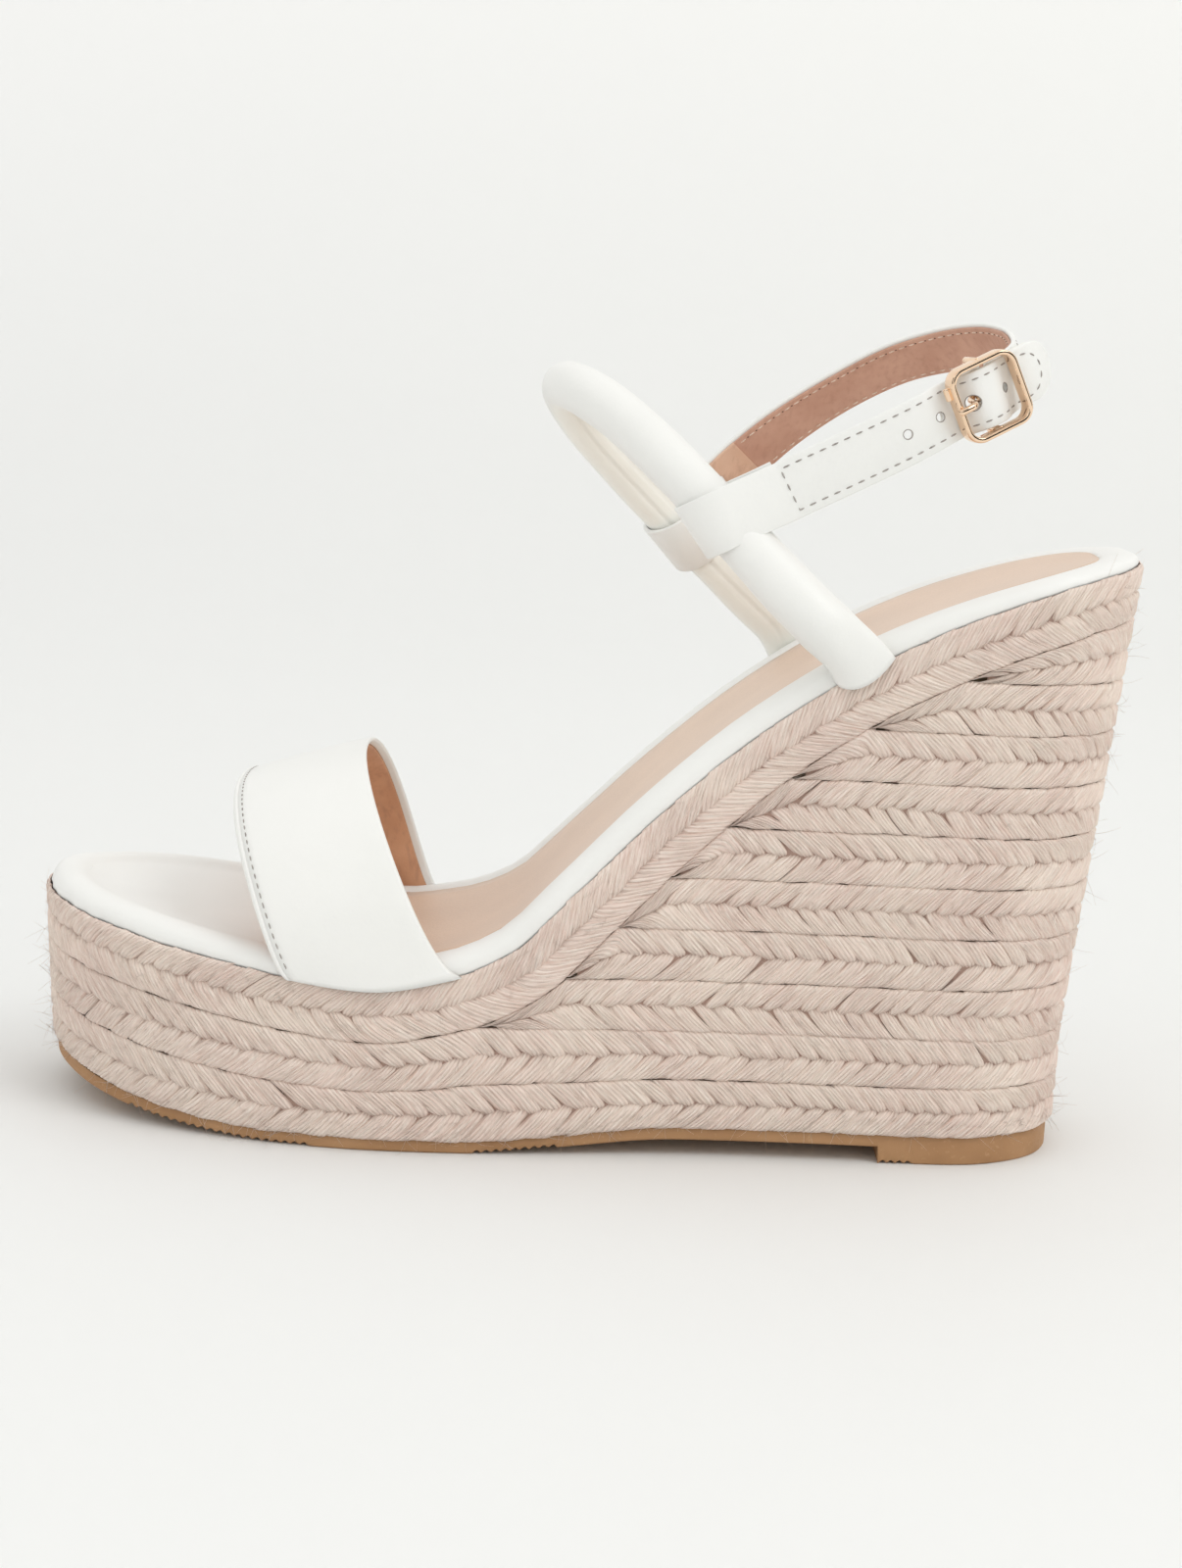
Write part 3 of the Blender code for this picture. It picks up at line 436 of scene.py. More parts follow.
def settle(obj, body, slot=None, replaces=()):
    """Puts a finished piece on its body and in place of its CAD nodes; the slot argument is not used."""
    if body:
        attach(obj, body)
    if replaces:
        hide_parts(*replaces)


def sweep(name, sections, look, sharp=None, uv_scale=1.0, shade=None):
    """A closed body through sections of as many points each, with filled ends."""
    sections = np.asarray(sections, float)
    rows, columns = sections.shape[:2]
    faces = grid_faces(rows, columns, close_columns=True).tolist()
    faces.append(list(range(columns)))
    faces.append(list(range((rows - 1) * columns, rows * columns))[::-1])
    along = arc_lengths(sections.mean(axis=1))
    uv = np.stack(np.broadcast_arrays(np.arange(columns)[None, :] * uv_scale, along[:, None]), axis=-1)
    obj = fix_normals(make_mesh(name, sections.reshape(-1, 3), faces, look, uv.reshape(-1, 2), shade))
    if sharp:
        obj.data.set_sharp_from_angle(angle=math.radians(sharp))
    return obj


def join_meshes(name, parts, look):
    """One mesh out of (points, quads) parts, or of (points, quads, uv, shade) ones."""
    points, quads, *marks = zip(*parts)
    points = [part.reshape(-1, 3) for part in points]
    bases = np.cumsum([0] + [len(part) for part in points])
    faces = np.vstack([part + base for part, base in zip(quads, bases)])
    if not marks:
        return make_mesh(name, np.vstack(points), faces, look)
    uv = np.vstack([part.reshape(-1, 2) for part in marks[0]])
    shade = np.concatenate([part.ravel() for part in marks[1]])
    return make_mesh(name, np.vstack(points), faces, look, uv, shade)


def apply_booleans(obj):
    """Bakes an object's modifiers into its mesh and removes their cutters."""
    cutters = [modifier.object for modifier in obj.modifiers]
    bpy.context.view_layer.update()
    baked = bpy.data.meshes.new_from_object(obj.evaluated_get(bpy.context.evaluated_depsgraph_get()))
    obj.modifiers.clear()
    obj.data = baked
    for cutter in cutters:
        bpy.data.objects.remove(cutter)


# --- materials ---


class Look:
    """A material under construction: adds nodes, links sockets and sets the shader."""

    def __init__(self, name, **shader_values):
        self.material = bpy.data.materials.new(name)
        self.material.use_nodes = True
        self.tree = self.material.node_tree
        self.shader = self.tree.nodes["Principled BSDF"]
        for socket, value in shader_values.items():
            self.shader.inputs[socket.replace("_", " ")].default_value = value

    def add(self, kind, inputs, **settings):
        node = self.tree.nodes.new(kind)
        for key, value in settings.items():
            setattr(node, key, value)
        for key, value in inputs.items():
            self.set(node.inputs[key], value)
        return node

    def set(self, socket, value):
        if isinstance(value, bpy.types.NodeSocket):
            self.tree.links.new(value, socket)
        else:
            socket.default_value = value

    def place(self, scale=(1, 1, 1), source="Object"):
        """Coordinates scaled by axis; in metres for Object, as the mesh has them for UV."""
        coordinates = self.add("ShaderNodeTexCoord", {}).outputs[source]
        return self.add("ShaderNodeMapping", {"Vector": coordinates, "Scale": scale}).outputs["Vector"]

    def noise(self, scale, where=None, detail=3.0, roughness=0.5):
        inputs = {"Scale": scale, "Detail": detail, "Roughness": roughness}
        inputs["Vector"] = self.place() if where is None else where
        return self.add("ShaderNodeTexNoise", inputs).outputs["Fac"]

    def cells(self, scale):
        return self.add("ShaderNodeTexVoronoi", {"Scale": scale, "Vector": self.place()}).outputs["Distance"]

    def shade(self):
        """The value that a mesh carries at its points: painted shade on the braids, the warmer inner side on
        the tube.
        """
        return self.add("ShaderNodeAttribute", {}, attribute_name="shade").outputs["Fac"]

    def spread(self, value, low, high, to_low=0.0, to_high=1.0):
        inputs = {"Value": value, "From Min": low, "From Max": high, "To Min": to_low, "To Max": to_high}
        return self.add("ShaderNodeMapRange", inputs).outputs["Result"]

    def mix(self, factor, first, second, blend="MIX"):
        node = self.add("ShaderNodeMix", {}, data_type="RGBA", blend_type=blend)
        for index, value in ((0, factor), (6, first), (7, second)):
            self.set(node.inputs[index], (*value, 1) if isinstance(value, tuple) else value)
        return node.outputs[2]

    def tones(self, value, first, second, low=0.3, high=0.7):
        """The first colour where the value is low, the second where it is high."""
        return self.mix(self.spread(value, low, high), first, second)

    def colour(self, value):
        self.set(self.shader.inputs["Base Color"], value)

    def roughness(self, value, at_low, at_high, low=0.3, high=0.7):
        self.set(self.shader.inputs["Roughness"], self.spread(value, low, high, at_low, at_high))

    def bump(self, height, distance, strength=1.0):
        """Adds relief of this depth in metres on top of what is there."""
        normal = self.shader.inputs["Normal"]
        inputs = {"Height": height, "Distance": distance, "Strength": strength}
        if normal.links:
            inputs["Normal"] = normal.links[0].from_socket
        self.set(normal, self.add("ShaderNodeBump", inputs).outputs["Normal"])


def jute_look():
    """Spun fibre: fine threads along each strand, pale, with brownish painted shade between the strands."""
    look = Look("braided_jute", Specular_IOR_Level=0.25, Sheen_Weight=0.25, Sheen_Roughness=0.6,
                Sheen_Tint=(0.95, 0.86, 0.78, 1))
    threads = look.noise(1.0, look.place((3.4, 0.2, 1), "UV"), detail=5.0, roughness=0.7)
    slubs = look.noise(1.0, look.place((1.1, 0.22, 1), "UV"), detail=2.0)
    patches = look.noise(55.0, detail=2.0)
    thread_tone = look.tones(threads, (0.71, 0.515, 0.435), (1.0, 0.905, 0.825), 0.36, 0.64)
    pinker = look.mix(look.spread(slubs, 0.35, 0.7, 0, 0.5), thread_tone, (0.95, 0.745, 0.665))
    paler = look.mix(look.spread(patches, 0.4, 0.65, 0, 0.4), pinker, (1.0, 0.90, 0.79))
    # Painted shade: where the shade value is low, deep between strands and yarns and on the backing strip,
    # the colour goes to dark brown.
    look.colour(look.tones(look.shade(), (0.46, 0.31, 0.255), paler, 0.0, 0.6))
    look.roughness(threads, 0.95, 0.78)
    look.bump(threads, 0.0004)
    look.bump(look.noise(2600.0, detail=2.0), 0.00008, 0.5)
    return look.material


def white_look(name, warm_inside=False):
    """Smooth coated leather with a faint grain; the tube's is warmer on its inner side."""
    look = Look(name, Coat_Weight=0.06, Coat_Roughness=0.35, Specular_IOR_Level=0.42)
    cloud = look.noise(28.0, detail=2.0)
    white = look.tones(cloud, (0.845, 0.846, 0.822), (0.885, 0.884, 0.862))
    if warm_inside:
        white = look.mix(look.shade(), white, look.tones(cloud, (0.93, 0.925, 0.865), (0.96, 0.955, 0.90)))
    look.colour(white)
    look.roughness(look.noise(90.0), 0.38, 0.5)
    look.bump(look.cells(1500.0), 0.00006, 0.35)
    look.bump(look.noise(260.0), 0.00012, 0.25)
    return look.material


def cream_look():
    """The perforated strap's backing, where the same leather has a warmer, flatter coat."""
    look = Look("cream_inner_leather", Specular_IOR_Level=0.35)
    look.colour(look.tones(look.noise(40.0), (0.90, 0.89, 0.825), (0.94, 0.93, 0.87)))
    look.roughness(look.noise(120.0), 0.5, 0.62)
    look.bump(look.cells(1500.0), 0.00006, 0.3)
    return look.material


def lining_look(name, dark, light):
    """Brown lining with pores and short creases."""
    look = Look(name, Specular_IOR_Level=0.35)
    creases = look.noise(1.0, look.place((900, 900, 250)))
    base = look.tones(look.noise(120.0, detail=4.0), dark, light)
    look.colour(look.mix(look.spread(creases, 0.5, 0.75, 0, 0.35), base, (0.40, 0.215, 0.155)))
    look.roughness(creases, 0.55, 0.75)
    look.bump(look.cells(1900.0), 0.00008, 0.5)
    look.bump(creases, 0.00015, 0.3)
    return look.material


def sock_look():
    """Satin tan footbed leather with darker pores."""
    look = Look("tan_sock_leather", Specular_IOR_Level=0.55, Sheen_Weight=0.25, Sheen_Roughness=0.45)
    cloud = look.noise(35.0)
    pores = look.cells(1700.0)
    base = look.tones(cloud, (0.68, 0.48, 0.345), (0.785, 0.58, 0.435))
    look.colour(look.mix(look.spread(pores, 0.0, 0.5, 0.25, 0.0), base, (0.48, 0.34, 0.24)))
    look.roughness(cloud, 0.42, 0.52)
    look.bump(pores, 0.00007, 0.5)
    look.bump(look.noise(420.0), 0.0001, 0.3)
    return look.material


def rubber_look():
    """Gum rubber with paler moulding specks."""
    look = Look("gum_rubber", Specular_IOR_Level=0.4)
    specks = look.noise(900.0, detail=2.0)
    base = look.tones(look.noise(60.0, detail=4.0), (0.36, 0.19, 0.085), (0.47, 0.265, 0.13))
    look.colour(look.mix(look.spread(specks, 0.62, 0.75, 0, 0.5), base, (0.56, 0.36, 0.21)))
    look.roughness(specks, 0.55, 0.75)
    look.bump(specks, 0.00009, 0.6)
    return look.material


def gold_look():
    """Polished pale gold plate with fine rubbing marks."""
    look = Look("pale_gold_metal", Metallic=1.0)
    marks = look.noise(1.0, look.place((2500, 2500, 500)))
    look.colour(look.tones(look.noise(500.0, detail=2.0), (0.90, 0.66, 0.47), (0.93, 0.70, 0.51)))
    look.roughness(marks, 0.03, 0.1, 0.35, 0.7)
    look.bump(marks, 0.000001, 0.1)
    return look.material


def plain_look(name, specular, pattern, tones, roughness, relief, span=(0.3, 0.7)):
    """A look whose one pattern gives its colour, its roughness and its relief (depth and strength)."""
    look = Look(name, Specular_IOR_Level=specular)
    value = pattern(look)
    look.colour(look.tones(value, *tones, *span))
    look.roughness(value, *roughness, *span)
    look.bump(value, *relief)
    return look.material


def twist(look):
    return look.noise(1.0, look.place((3000, 3000, 1200)), detail=2.0)


def floor_look():
    """Pale matt floor that turns into a wall, with painted light: the wall and the floor's right side are
    painted brighter.
    """
    look = Look("studio_floor", Specular_IOR_Level=0.2)
    base = look.tones(look.noise(1.5, detail=2.0), (0.825, 0.831, 0.828), (0.835, 0.841, 0.838))
    split = look.add("ShaderNodeSeparateXYZ", {"Vector": look.place()})
    # Painted light: brighter towards the right along X, and brighter again up the wall.
    side = look.spread(split.outputs["X"], -0.8, 0.8)
    brighter = look.mix(side, base, look.mix(1.0, base, (1.045, 1.045, 1.03), "MULTIPLY"))
    wall = look.mix(side, (0.99, 0.99, 0.982), (1.0, 1.0, 0.98))
    look.colour(look.tones(split.outputs["Z"], brighter, wall, 0.02, 0.7))
    look.roughness(look.noise(12.0), 0.6, 0.7)
    look.bump(look.noise(900.0), 0.00003, 0.15)
    return look.material


JUTE = jute_look()
WHITE = white_look("white_faux_leather")
TUBE = white_look("tube_leather", warm_inside=True)
CREAM = cream_look()
LINING = lining_look("lining_leather", (0.53, 0.295, 0.215), (0.64, 0.385, 0.29))
TOE_LINING = lining_look("toe_lining_leather", (0.60, 0.31, 0.18), (0.72, 0.40, 0.24))
DOUBLED = lining_look("doubled_lining_leather", (0.66, 0.41, 0.29), (0.74, 0.50, 0.37))
SOCK = sock_look()
RUBBER = rubber_look()
GOLD = gold_look()
# Dark thread, whose colour also serves as the painted shade in the strap's holes.
THREAD_AND_HOLE_SHADE = plain_look("thread_and_hole_shade", 0.3, twist, ((0.26, 0.235, 0.215), (0.46, 0.43, 0.40)), (0.7, 0.9),
                    (0.00008, 0.6))
TAN_THREAD = plain_look("tan_thread", 0.3, twist, ((0.66, 0.50, 0.40), (0.86, 0.72, 0.62)), (0.7, 0.9),
                        (0.00008, 0.6))
PRICK = plain_look("needle_pricks", 0.2, lambda look: look.noise(2500.0),
                   ((0.10, 0.055, 0.04), (0.17, 0.10, 0.075)), (0.8, 0.95), (0.00005, 0.5))
FOAM = plain_look("cream_foam", 0.5, lambda look: look.cells(900.0),
                  ((0.62, 0.55, 0.42), (0.82, 0.76, 0.63)), (0.95, 0.85), (0.0004, 0.6), (0.0, 0.6))
BOARD = plain_look("wedge_board", 0.5, lambda look: look.noise(1.0, look.place((60, 60, 500)), detail=4.0),
                   ((0.33, 0.22, 0.13), (0.52, 0.38, 0.25)), (0.85, 0.95), (0.0002, 0.5))
CARD = plain_look("black_card", 0.1, lambda look: look.noise(40.0),
                  ((0.008, 0.007, 0.006), (0.016, 0.013, 0.011)), (0.9, 1.0), (0.0002, 0.3))
FLOOR = floor_look()


# --- braids ---


def level_row(low_of, high_of):
    """Maps (along, share of the row's height) to (along, height) for a row whose strands stand upright."""

    def place(along, share):
        low, high = low_of(along), high_of(along)
        return along, low + share * (high - low)

    return place


def top_band_place(along, share):
    """The same for the top band, whose strands lie square to the footbed's edge."""
    return below_edge(along, (1 - share) * (BRAID_WIDTH + RIM_LAP) - RIM_LAP)


def strand_centres(place, pitch, first, last, closed):
    """Distances along the edge of one half-row's strands, evenly spaced along the row's middle."""
    along = np.linspace(first, last, 1500)
    moved, height = place(along, np.full_like(along, 0.5))
    length = arc_lengths(np.stack([moved, height], axis=1))
    count = max(2, round(length[-1] / pitch))
    steps = (np.arange(count) + 0.5) / count if closed else np.linspace(0, 1, count)
    return np.interp(steps * length[-1], length, along)


def strands(place, centres, upper, sign, pitch, fine):
    """One half-row of plaited strands, each a ridged leaf tucked under at both ends."""
    count = len(centres)
    across = np.linspace(-1, 1, STRAND_POINTS)[None, :, None]
    step = (np.linspace(0, 1, STRAND_STEPS) ** 1.35)[None, None, :]

    def vary(spread):
        return RANDOM.uniform(-spread, spread, (count, 1, 1))

    # The strand's middle line: from the row's border, past its middle, under the other half-row.
    tuck = 0.1 + vary(0.03)
    share = step * (0.5 + tuck)
    share = 1 - share if upper else share
    run = BRAID_WIDTH * (0.58 if fine else 0.62) * (1 + vary(0.12))
    narrow = 1 - 0.4 * smooth_step(step, 0.66, 1.0)
    half_width = pitch * (0.6 - 0.04 * step) * (1 + vary(0.09)) * narrow
    bow = (0.35 + vary(0.3)) * np.sin(math.pi * step)
    start = centres[:, None, None] + vary(0.06 * pitch)
    along = start + sign * ((step - 0.45) * run + bow) + across * half_width
    share = share + across * vary(0.02) + (1 - step) * vary(0.014)
    # Its relief: a dome across it, parted from its neighbours, with the yarns twisting over it.
    rise = smooth_step(step, -0.12, 0.1) * (1 - 0.8 * smooth_step(step, 0.66, 1.0))
    dome = np.sqrt(np.maximum(0, 1 - np.abs(across) ** 2.3))
    turns = across * YARNS / 2 + vary(0.5) + step * (0.35 + vary(0.3))
    yarn = np.abs(np.sin(math.pi * turns)) ** 0.7
    parted = 0.35 + 0.65 * smooth_step(step, 0.2, 0.75)
    height = (1 - 0.9 * parted * (1 - dome) + 0.12 * across * sign * parted) * (1 + vary(0.12) * parted)
    level = rise * (height * (BRAID_DEPTH - YARN_HEIGHT) + YARN_HEIGHT * yarn * (0.4 + 0.6 * dome))
    inset = BRAID_DEPTH - BRAID_PROUD - level
    wall_along, wall_height = place(along, np.broadcast_to(share, along.shape))
    points = wall_point(wall_along, wall_height, inset)
    # Every strand has its own patch of the fibre pattern.
    own_patch = np.arange(count)[:, None, None] * 7.0 + (0 if upper else 3.3)
    uv = np.broadcast_arrays(own_patch + 0.5 * (across + 1) * pitch, step * 7.5 + own_patch * 1.7)
    faces = copied_faces(grid_faces(STRAND_POINTS, STRAND_STEPS), count, STRAND_POINTS * STRAND_STEPS)
    # The last value is painted shade: lower where the surface sits deeper in the plait and between the
    # yarns.
    return points, faces, np.stack(uv, axis=-1), level / BRAID_DEPTH - 0.3 * (1 - yarn) * rise


def build_braid(node, place, sign, fine, first=0.0, last=EDGE_LENGTH, closed=True):
    """One plaited row in place of its CAD node: two half-rows of strands over a backing strip."""
    pitch = FINE_PITCH if fine else WIDE_PITCH
    centres = strand_centres(place, pitch, first, last, closed)
    half_step = np.median(np.diff(centres)) / 2
    parts = [strands(place, centres + shift, upper, sign, pitch, fine)
             for upper, shift in ((True, 0.0), (False, half_step))]
    steps = np.linspace(first, last, BACKING_SHAPE[0])[:, None]
    shares = np.linspace(0.01, 0.99, BACKING_SHAPE[1])
    wall_along, height = place(steps, np.broadcast_to(shares, BACKING_SHAPE))
    inset = np.full(BACKING_SHAPE, BRAID_DEPTH - BRAID_PROUD - BACKING_DEPTH)
    uv = np.stack(np.broadcast_arrays(steps, shares * 10), axis=-1)
    # The backing strip carries a shade of 0: painted wholly in the dark shade colour.
    parts.append((wall_point(wall_along, height, inset), grid_faces(*BACKING_SHAPE), uv, 0 * inset))
    obj = join_meshes(f"plait_{node[6:]}", parts, JUTE)
    settle(obj, "sandal_base", "braided_jute", [node])


def heel_row_span(low):
    """Where the top braid leaves room for a row at this height, on the outer and the inner side."""
    stations = np.linspace(0, EDGE_LENGTH, 1440)
    behind_ball = edge_point(stations)[:, 0] > ROWS_PART_X
    room = stations[behind_ball & (top_band_bottom(stations) > low + 2.0)]
    return room[0], room[-1]


def build_braids():
    build_braid("braid_top_band", top_band_place, -1, True)
    build_braid("braid_row_01", level_row(lambda s: jute_bottom(s) - 0.5, first_row_top), 1, False)
    build_braid("braid_row_02", level_row(first_row_top, lambda s: second_row_top(s) + 0.25), 1, False)
    for number in range(3, 3 + HEEL_ROWS):
        low = SECOND_ROW_TOP + (number - 3) * BRAID_WIDTH
        first, last = heel_row_span(low)
        reach = BRAID_WIDTH + (LAST_ROW_EXTRA if number == 2 + HEEL_ROWS else 0)

        def high_of(s, low=low, reach=reach):
            return np.maximum(low + 0.6, np.minimum(low + reach, top_band_bottom(s) - 0.05))

        sign = -1 if number % 2 else 1
        build_braid(f"braid_row_{number:02d}", level_row(lambda s, low=low: low + 0 * s, high_of), sign,
                    sign < 0, first, last, closed=False)


def build_fuzz():
    """Loose jute hairs that stand off the braids."""
    along = RANDOM.uniform(0, EDGE_LENGTH, HAIRS)
    low, high = jute_bottom(along), edge_height(along)
    # A fifth of them stand just above the outsole.
    pick = RANDOM.uniform(0, 1, HAIRS)
    pick[: HAIRS // 5] = RANDOM.uniform(0, 0.03, HAIRS // 5)
    root = wall_point(along, low + pick * (high - low), np.full(HAIRS, -BRAID_PROUD + 0.6))
    out = np.concatenate([edge_outward(along), np.zeros((HAIRS, 1))], axis=1)
    side = np.cross([0, 0, 1.0], out)
    sideways = RANDOM.uniform(-1, 1, (HAIRS, 1)) * side
    way = unit(0.55 * out + sideways + RANDOM.uniform(-0.9, 0.7, (HAIRS, 1)) * [0, 0, 1])
    curl = RANDOM.normal(0, 0.45, (HAIRS, 3)) - 0.25 * out
    length = RANDOM.gamma(3.0, 0.95, (HAIRS, 1)) + 0.8
    length = np.minimum(length, HAIR_REACH / np.linalg.norm(way + curl, axis=1, keepdims=True))
    steps = np.linspace(0, 1, HAIR_STEPS)
    line = np.stack([root + length * (t * way + t * t * curl) for t in steps], axis=1)
    line[:, :, 2] = np.maximum(line[:, :, 2], 0.15)
    flat = unit(np.cross(way, side + 0.3))
    other = np.cross(way, flat)
    rings = rings_round(line, flat[:, None], other[:, None], HAIR_RADIUS * (1 - 0.6 * steps), HAIR_SIDES)
    size = HAIR_STEPS * HAIR_SIDES
    faces = copied_faces(grid_faces(HAIR_STEPS, HAIR_SIDES, close_columns=True), HAIRS, size)
    uv = np.zeros((HAIRS * size, 2)) + RANDOM.uniform(0, 50, (HAIRS * size, 1))
    obj = make_mesh("jute_fuzz", rings.reshape(-1, 3), faces, JUTE, uv, np.full(HAIRS * size, 0.9))
    settle(obj, "sandal_base", "braided_jute")


# --- outsole, core and footbed ---


def tread(x):
    """Depth of the moulded teeth under the ball, the waist's front and the heel block's front."""
    depth = np.zeros_like(x)
    for start, end, pitch in TOOTH_ZONES:
        inside = smooth_step(x, start, start + 0.4) * (1 - smooth_step(x, end - 0.4, end))
        depth += inside * TOOTH_DEPTH * np.abs((x / pitch) % 1 * 2 - 1)
    return depth


def build_outsole():
    stations = np.linspace(0, EDGE_LENGTH, 1400)
    rim = wall_point(stations, jute_bottom(stations), np.full_like(stations, SOLE_INSET))
    split = np.argmax(rim[:, 0])
    outer, inner = rim[:split + 1], rim[split:][::-1]
    toe, heel = rim[:, 0].min() + 0.15, rim[:, 0].max() - 0.15
    middle = (toe + heel) / 2
    ends = middle - (heel - toe) / 2 * np.cos(np.linspace(0, math.pi, 60))
    xs = np.sort(np.concatenate([ends, np.arange(toe + 2, heel - 2, 0.475),
                                 [HEEL_BLOCK_FRONT - 0.1, HEEL_BLOCK_FRONT + 0.1]]))
    outer_y = np.interp(xs, outer[:, 0], outer[:, 1])
    inner_y = np.interp(xs, inner[:, 0], inner[:, 1])
    block = xs > HEEL_BLOCK_FRONT
    bottom = np.where(block, 0.0, sole_height(xs)) + tread(xs)
    top = sole_height(xs) + SOLE_THICKNESS
    sections = []
    for x, near, far, low, high in zip(xs, outer_y, inner_y, bottom, top):
        inward = min(SOLE_ROUNDING, 0.3 * (far - near))
        half = [(inward, low), (0.12, low + 0.2), (0, low + SOLE_ROUNDING), (0, high - SOLE_ROUNDING),
                (0.15, high - 0.1), (inward, high)]
        ring = [(near + step, z) for step, z in half] + [(far - step, z) for step, z in half[::-1]]
        sections.append([(x, y, z) for y, z in ring])
    obj = sweep("rubber_outsole", sections, RUBBER, sharp=38)
    settle(obj, "sandal_base", "gum_rubber", ["outsole"])


def dish(x):
    """How far the footbed's middle sinks below its rim."""
    return FOOTBED_DISH * (1 - 0.35 * smooth_step(x, -50, 20))


def across_footbed(inset, lift, steps, front=None, recess=0.0):
    """Rows of points over the footbed, from each outer station to the inner one facing it."""
    stations = rim_stations(RIM_STATIONS)
    half = RIM_STATIONS // 2
    plan = edge_point(stations, inset)
    if front is not None:
        plan[:, 0] = np.maximum(plan[:, 0], front + 0.004 * np.abs(np.arange(RIM_STATIONS) - half))
    outer = plan[1:half]
    inner = plan[:half:-1]
    t = np.linspace(0, 1, steps)[None, :, None]
    rows = outer[:, None] * (1 - t) + inner[:, None] * t
    inward = np.sin(math.pi * t[..., 0])
    width = np.linalg.norm(inner - outer, axis=1)[:, None]
    sink = dish(rows[..., 0]) * np.maximum(inward, 0) ** 1.1 * smooth_step(width, 0, 34)
    behind = smooth_step(rows[..., 0], SOCK_FRONT - 1.5, SOCK_FRONT + 0.5)
    return on_footbed(rows, lift - (sink + recess * behind * smooth_step(inward, 0, 0.1)))


def build_footbed_cover():
    """White padded leather: a rounded rim, pleated a little round the toe, and the dished top."""
    stations = rim_stations(RIM_STATIONS)
    edge_x = edge_point(stations)[:, 0]
    pleat_room = smooth_step(-edge_x, 55, 95)
    rings = []
    for level, (inset, lift) in enumerate(RIM_PROFILE):
        low = 1 - smooth_step(float(level), 2, 7)
        wave = np.sin(stations * 1.45 + 1.7 * np.sin(stations * 0.31)) * 0.16 + np.sin(stations * 3.1) * 0.06
        soft = 0.12 * np.sin(stations * 0.16 + level * 0.2)
        pushed = inset + low * pleat_room * wave + soft * (1 - low) * (level < len(RIM_PROFILE) - 1)
        rings.append(on_footbed(edge_point(stations, pushed), lift))
    rings = np.array(rings)
    last_inset, last_lift = RIM_PROFILE[-1]
    steps = 15
    rows = across_footbed(last_inset, last_lift, steps, recess=0.25)
    toe = (len(rings) - 1) * RIM_STATIONS
    top = len(rings) * RIM_STATIONS
    end = top + len(rows) * steps
    faces = grid_faces(len(rings), RIM_STATIONS, close_columns=True).tolist()
    faces += (grid_faces(len(rows), steps) + top).tolist()
    faces += [[toe, top, top + steps - 1], [toe + RIM_STATIONS // 2, end - 1, end - steps]]
    obj = make_mesh("padded_footbed", np.vstack([rings.reshape(-1, 3), rows.reshape(-1, 3)]), faces, WHITE)
    fix_normals(obj)
    settle(obj, "sandal_base", "white_faux_leather", ["footbed_cover"])


def border(rows):
    """The points round a grid's four sides."""
    return np.concatenate([rows[:, 0], rows[-1, 1:-1], rows[::-1, -1], rows[0, -2:0:-1]])


def build_sock():
    """The tan lining let into the footbed, with a thin cut edge."""
    steps = 17
    rim_lift = RIM_PROFILE[-1][1]
    rows = across_footbed(SOCK_INSET, rim_lift + 0.08 + SOCK_THICKNESS, steps, SOCK_FRONT)
    under = across_footbed(SOCK_INSET - 0.12, rim_lift - 0.3, steps, SOCK_FRONT - 0.1)
    keep = rows[:, steps // 2, 0] > SOCK_FRONT + 0.2
    rows, under = rows[keep], under[keep]
    edges = [border(rows), border(under)]
    points = np.vstack([rows.reshape(-1, 3), *edges])
    side = grid_faces(2, len(edges[0]), close_columns=True) + len(rows) * steps
    obj = make_mesh("tan_sock", points, np.vstack([grid_faces(len(rows), steps), side]), SOCK)
    fix_normals(obj)
    settle(obj, "sandal_base", "tan_sock_leather", ["sock_lining"])


def build_foam():
    """The padding inside the footbed, under its cover."""
    steps = 9
    upper, lower = (across_footbed(FOAM_INSET, lift, steps) for lift in FOAM_LIFTS)
    size = len(upper) * steps
    ring = border(np.arange(size).reshape(-1, steps, 1))[:, 0]
    rim = np.stack([ring, np.roll(ring, -1), np.roll(ring, -1) + size, ring + size], axis=1)
    top = grid_faces(len(upper), steps)
    points = np.vstack([upper.reshape(-1, 3), lower.reshape(-1, 3)])
    foam = fix_normals(make_mesh("footbed_foam", points, np.vstack([top, top + size, rim]), FOAM))
    settle(foam, "sandal_base", "cream_foam", ["footbed_padding"])


def finish_hidden_nodes():
    """Inner parts keep their CAD solids and get their own materials."""
    for node, look in (("wedge_core", BOARD), ("insole_board", BOARD), ("instep_tube_core", FOAM)):
        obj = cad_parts[node]
        obj.data.materials.clear()
        obj.data.materials.append(look)


# --- stitches ---


def stitch_line(name, path, normals, look, pitch=2.3, length=1.5, radius=0.17, sunk=0.12):
    """Short threads along a path, each rising from the leather and back, of as many rings as sides."""
    along = arc_lengths(path)
    count = max(1, int(along[-1] / pitch))
    starts = (np.arange(count) + 0.5) * along[-1] / count - length / 2
    steps = np.linspace(0, 1, STITCH_SIDES)
    where = starts[:, None] + steps[None, :] * length
    normal = unit(read_off(where, along, normals))
    height = 0.9 * radius * np.sin(math.pi * steps) ** 0.6 - sunk
    line = read_off(where, along, path) + normal * height[None, :, None]
    side = unit(np.cross(unit(np.gradient(line, axis=1)), normal))
    rings = rings_round(line, side, normal, radius * (0.55 + 0.45 * np.sin(math.pi * steps)), STITCH_SIDES)
    faces = grid_faces(STITCH_SIDES, STITCH_SIDES, close_columns=True)
    faces = copied_faces(faces, count, STITCH_SIDES**2)
    return make_mesh(name, rings.reshape(-1, 3), faces, look)


# --- vamp ---


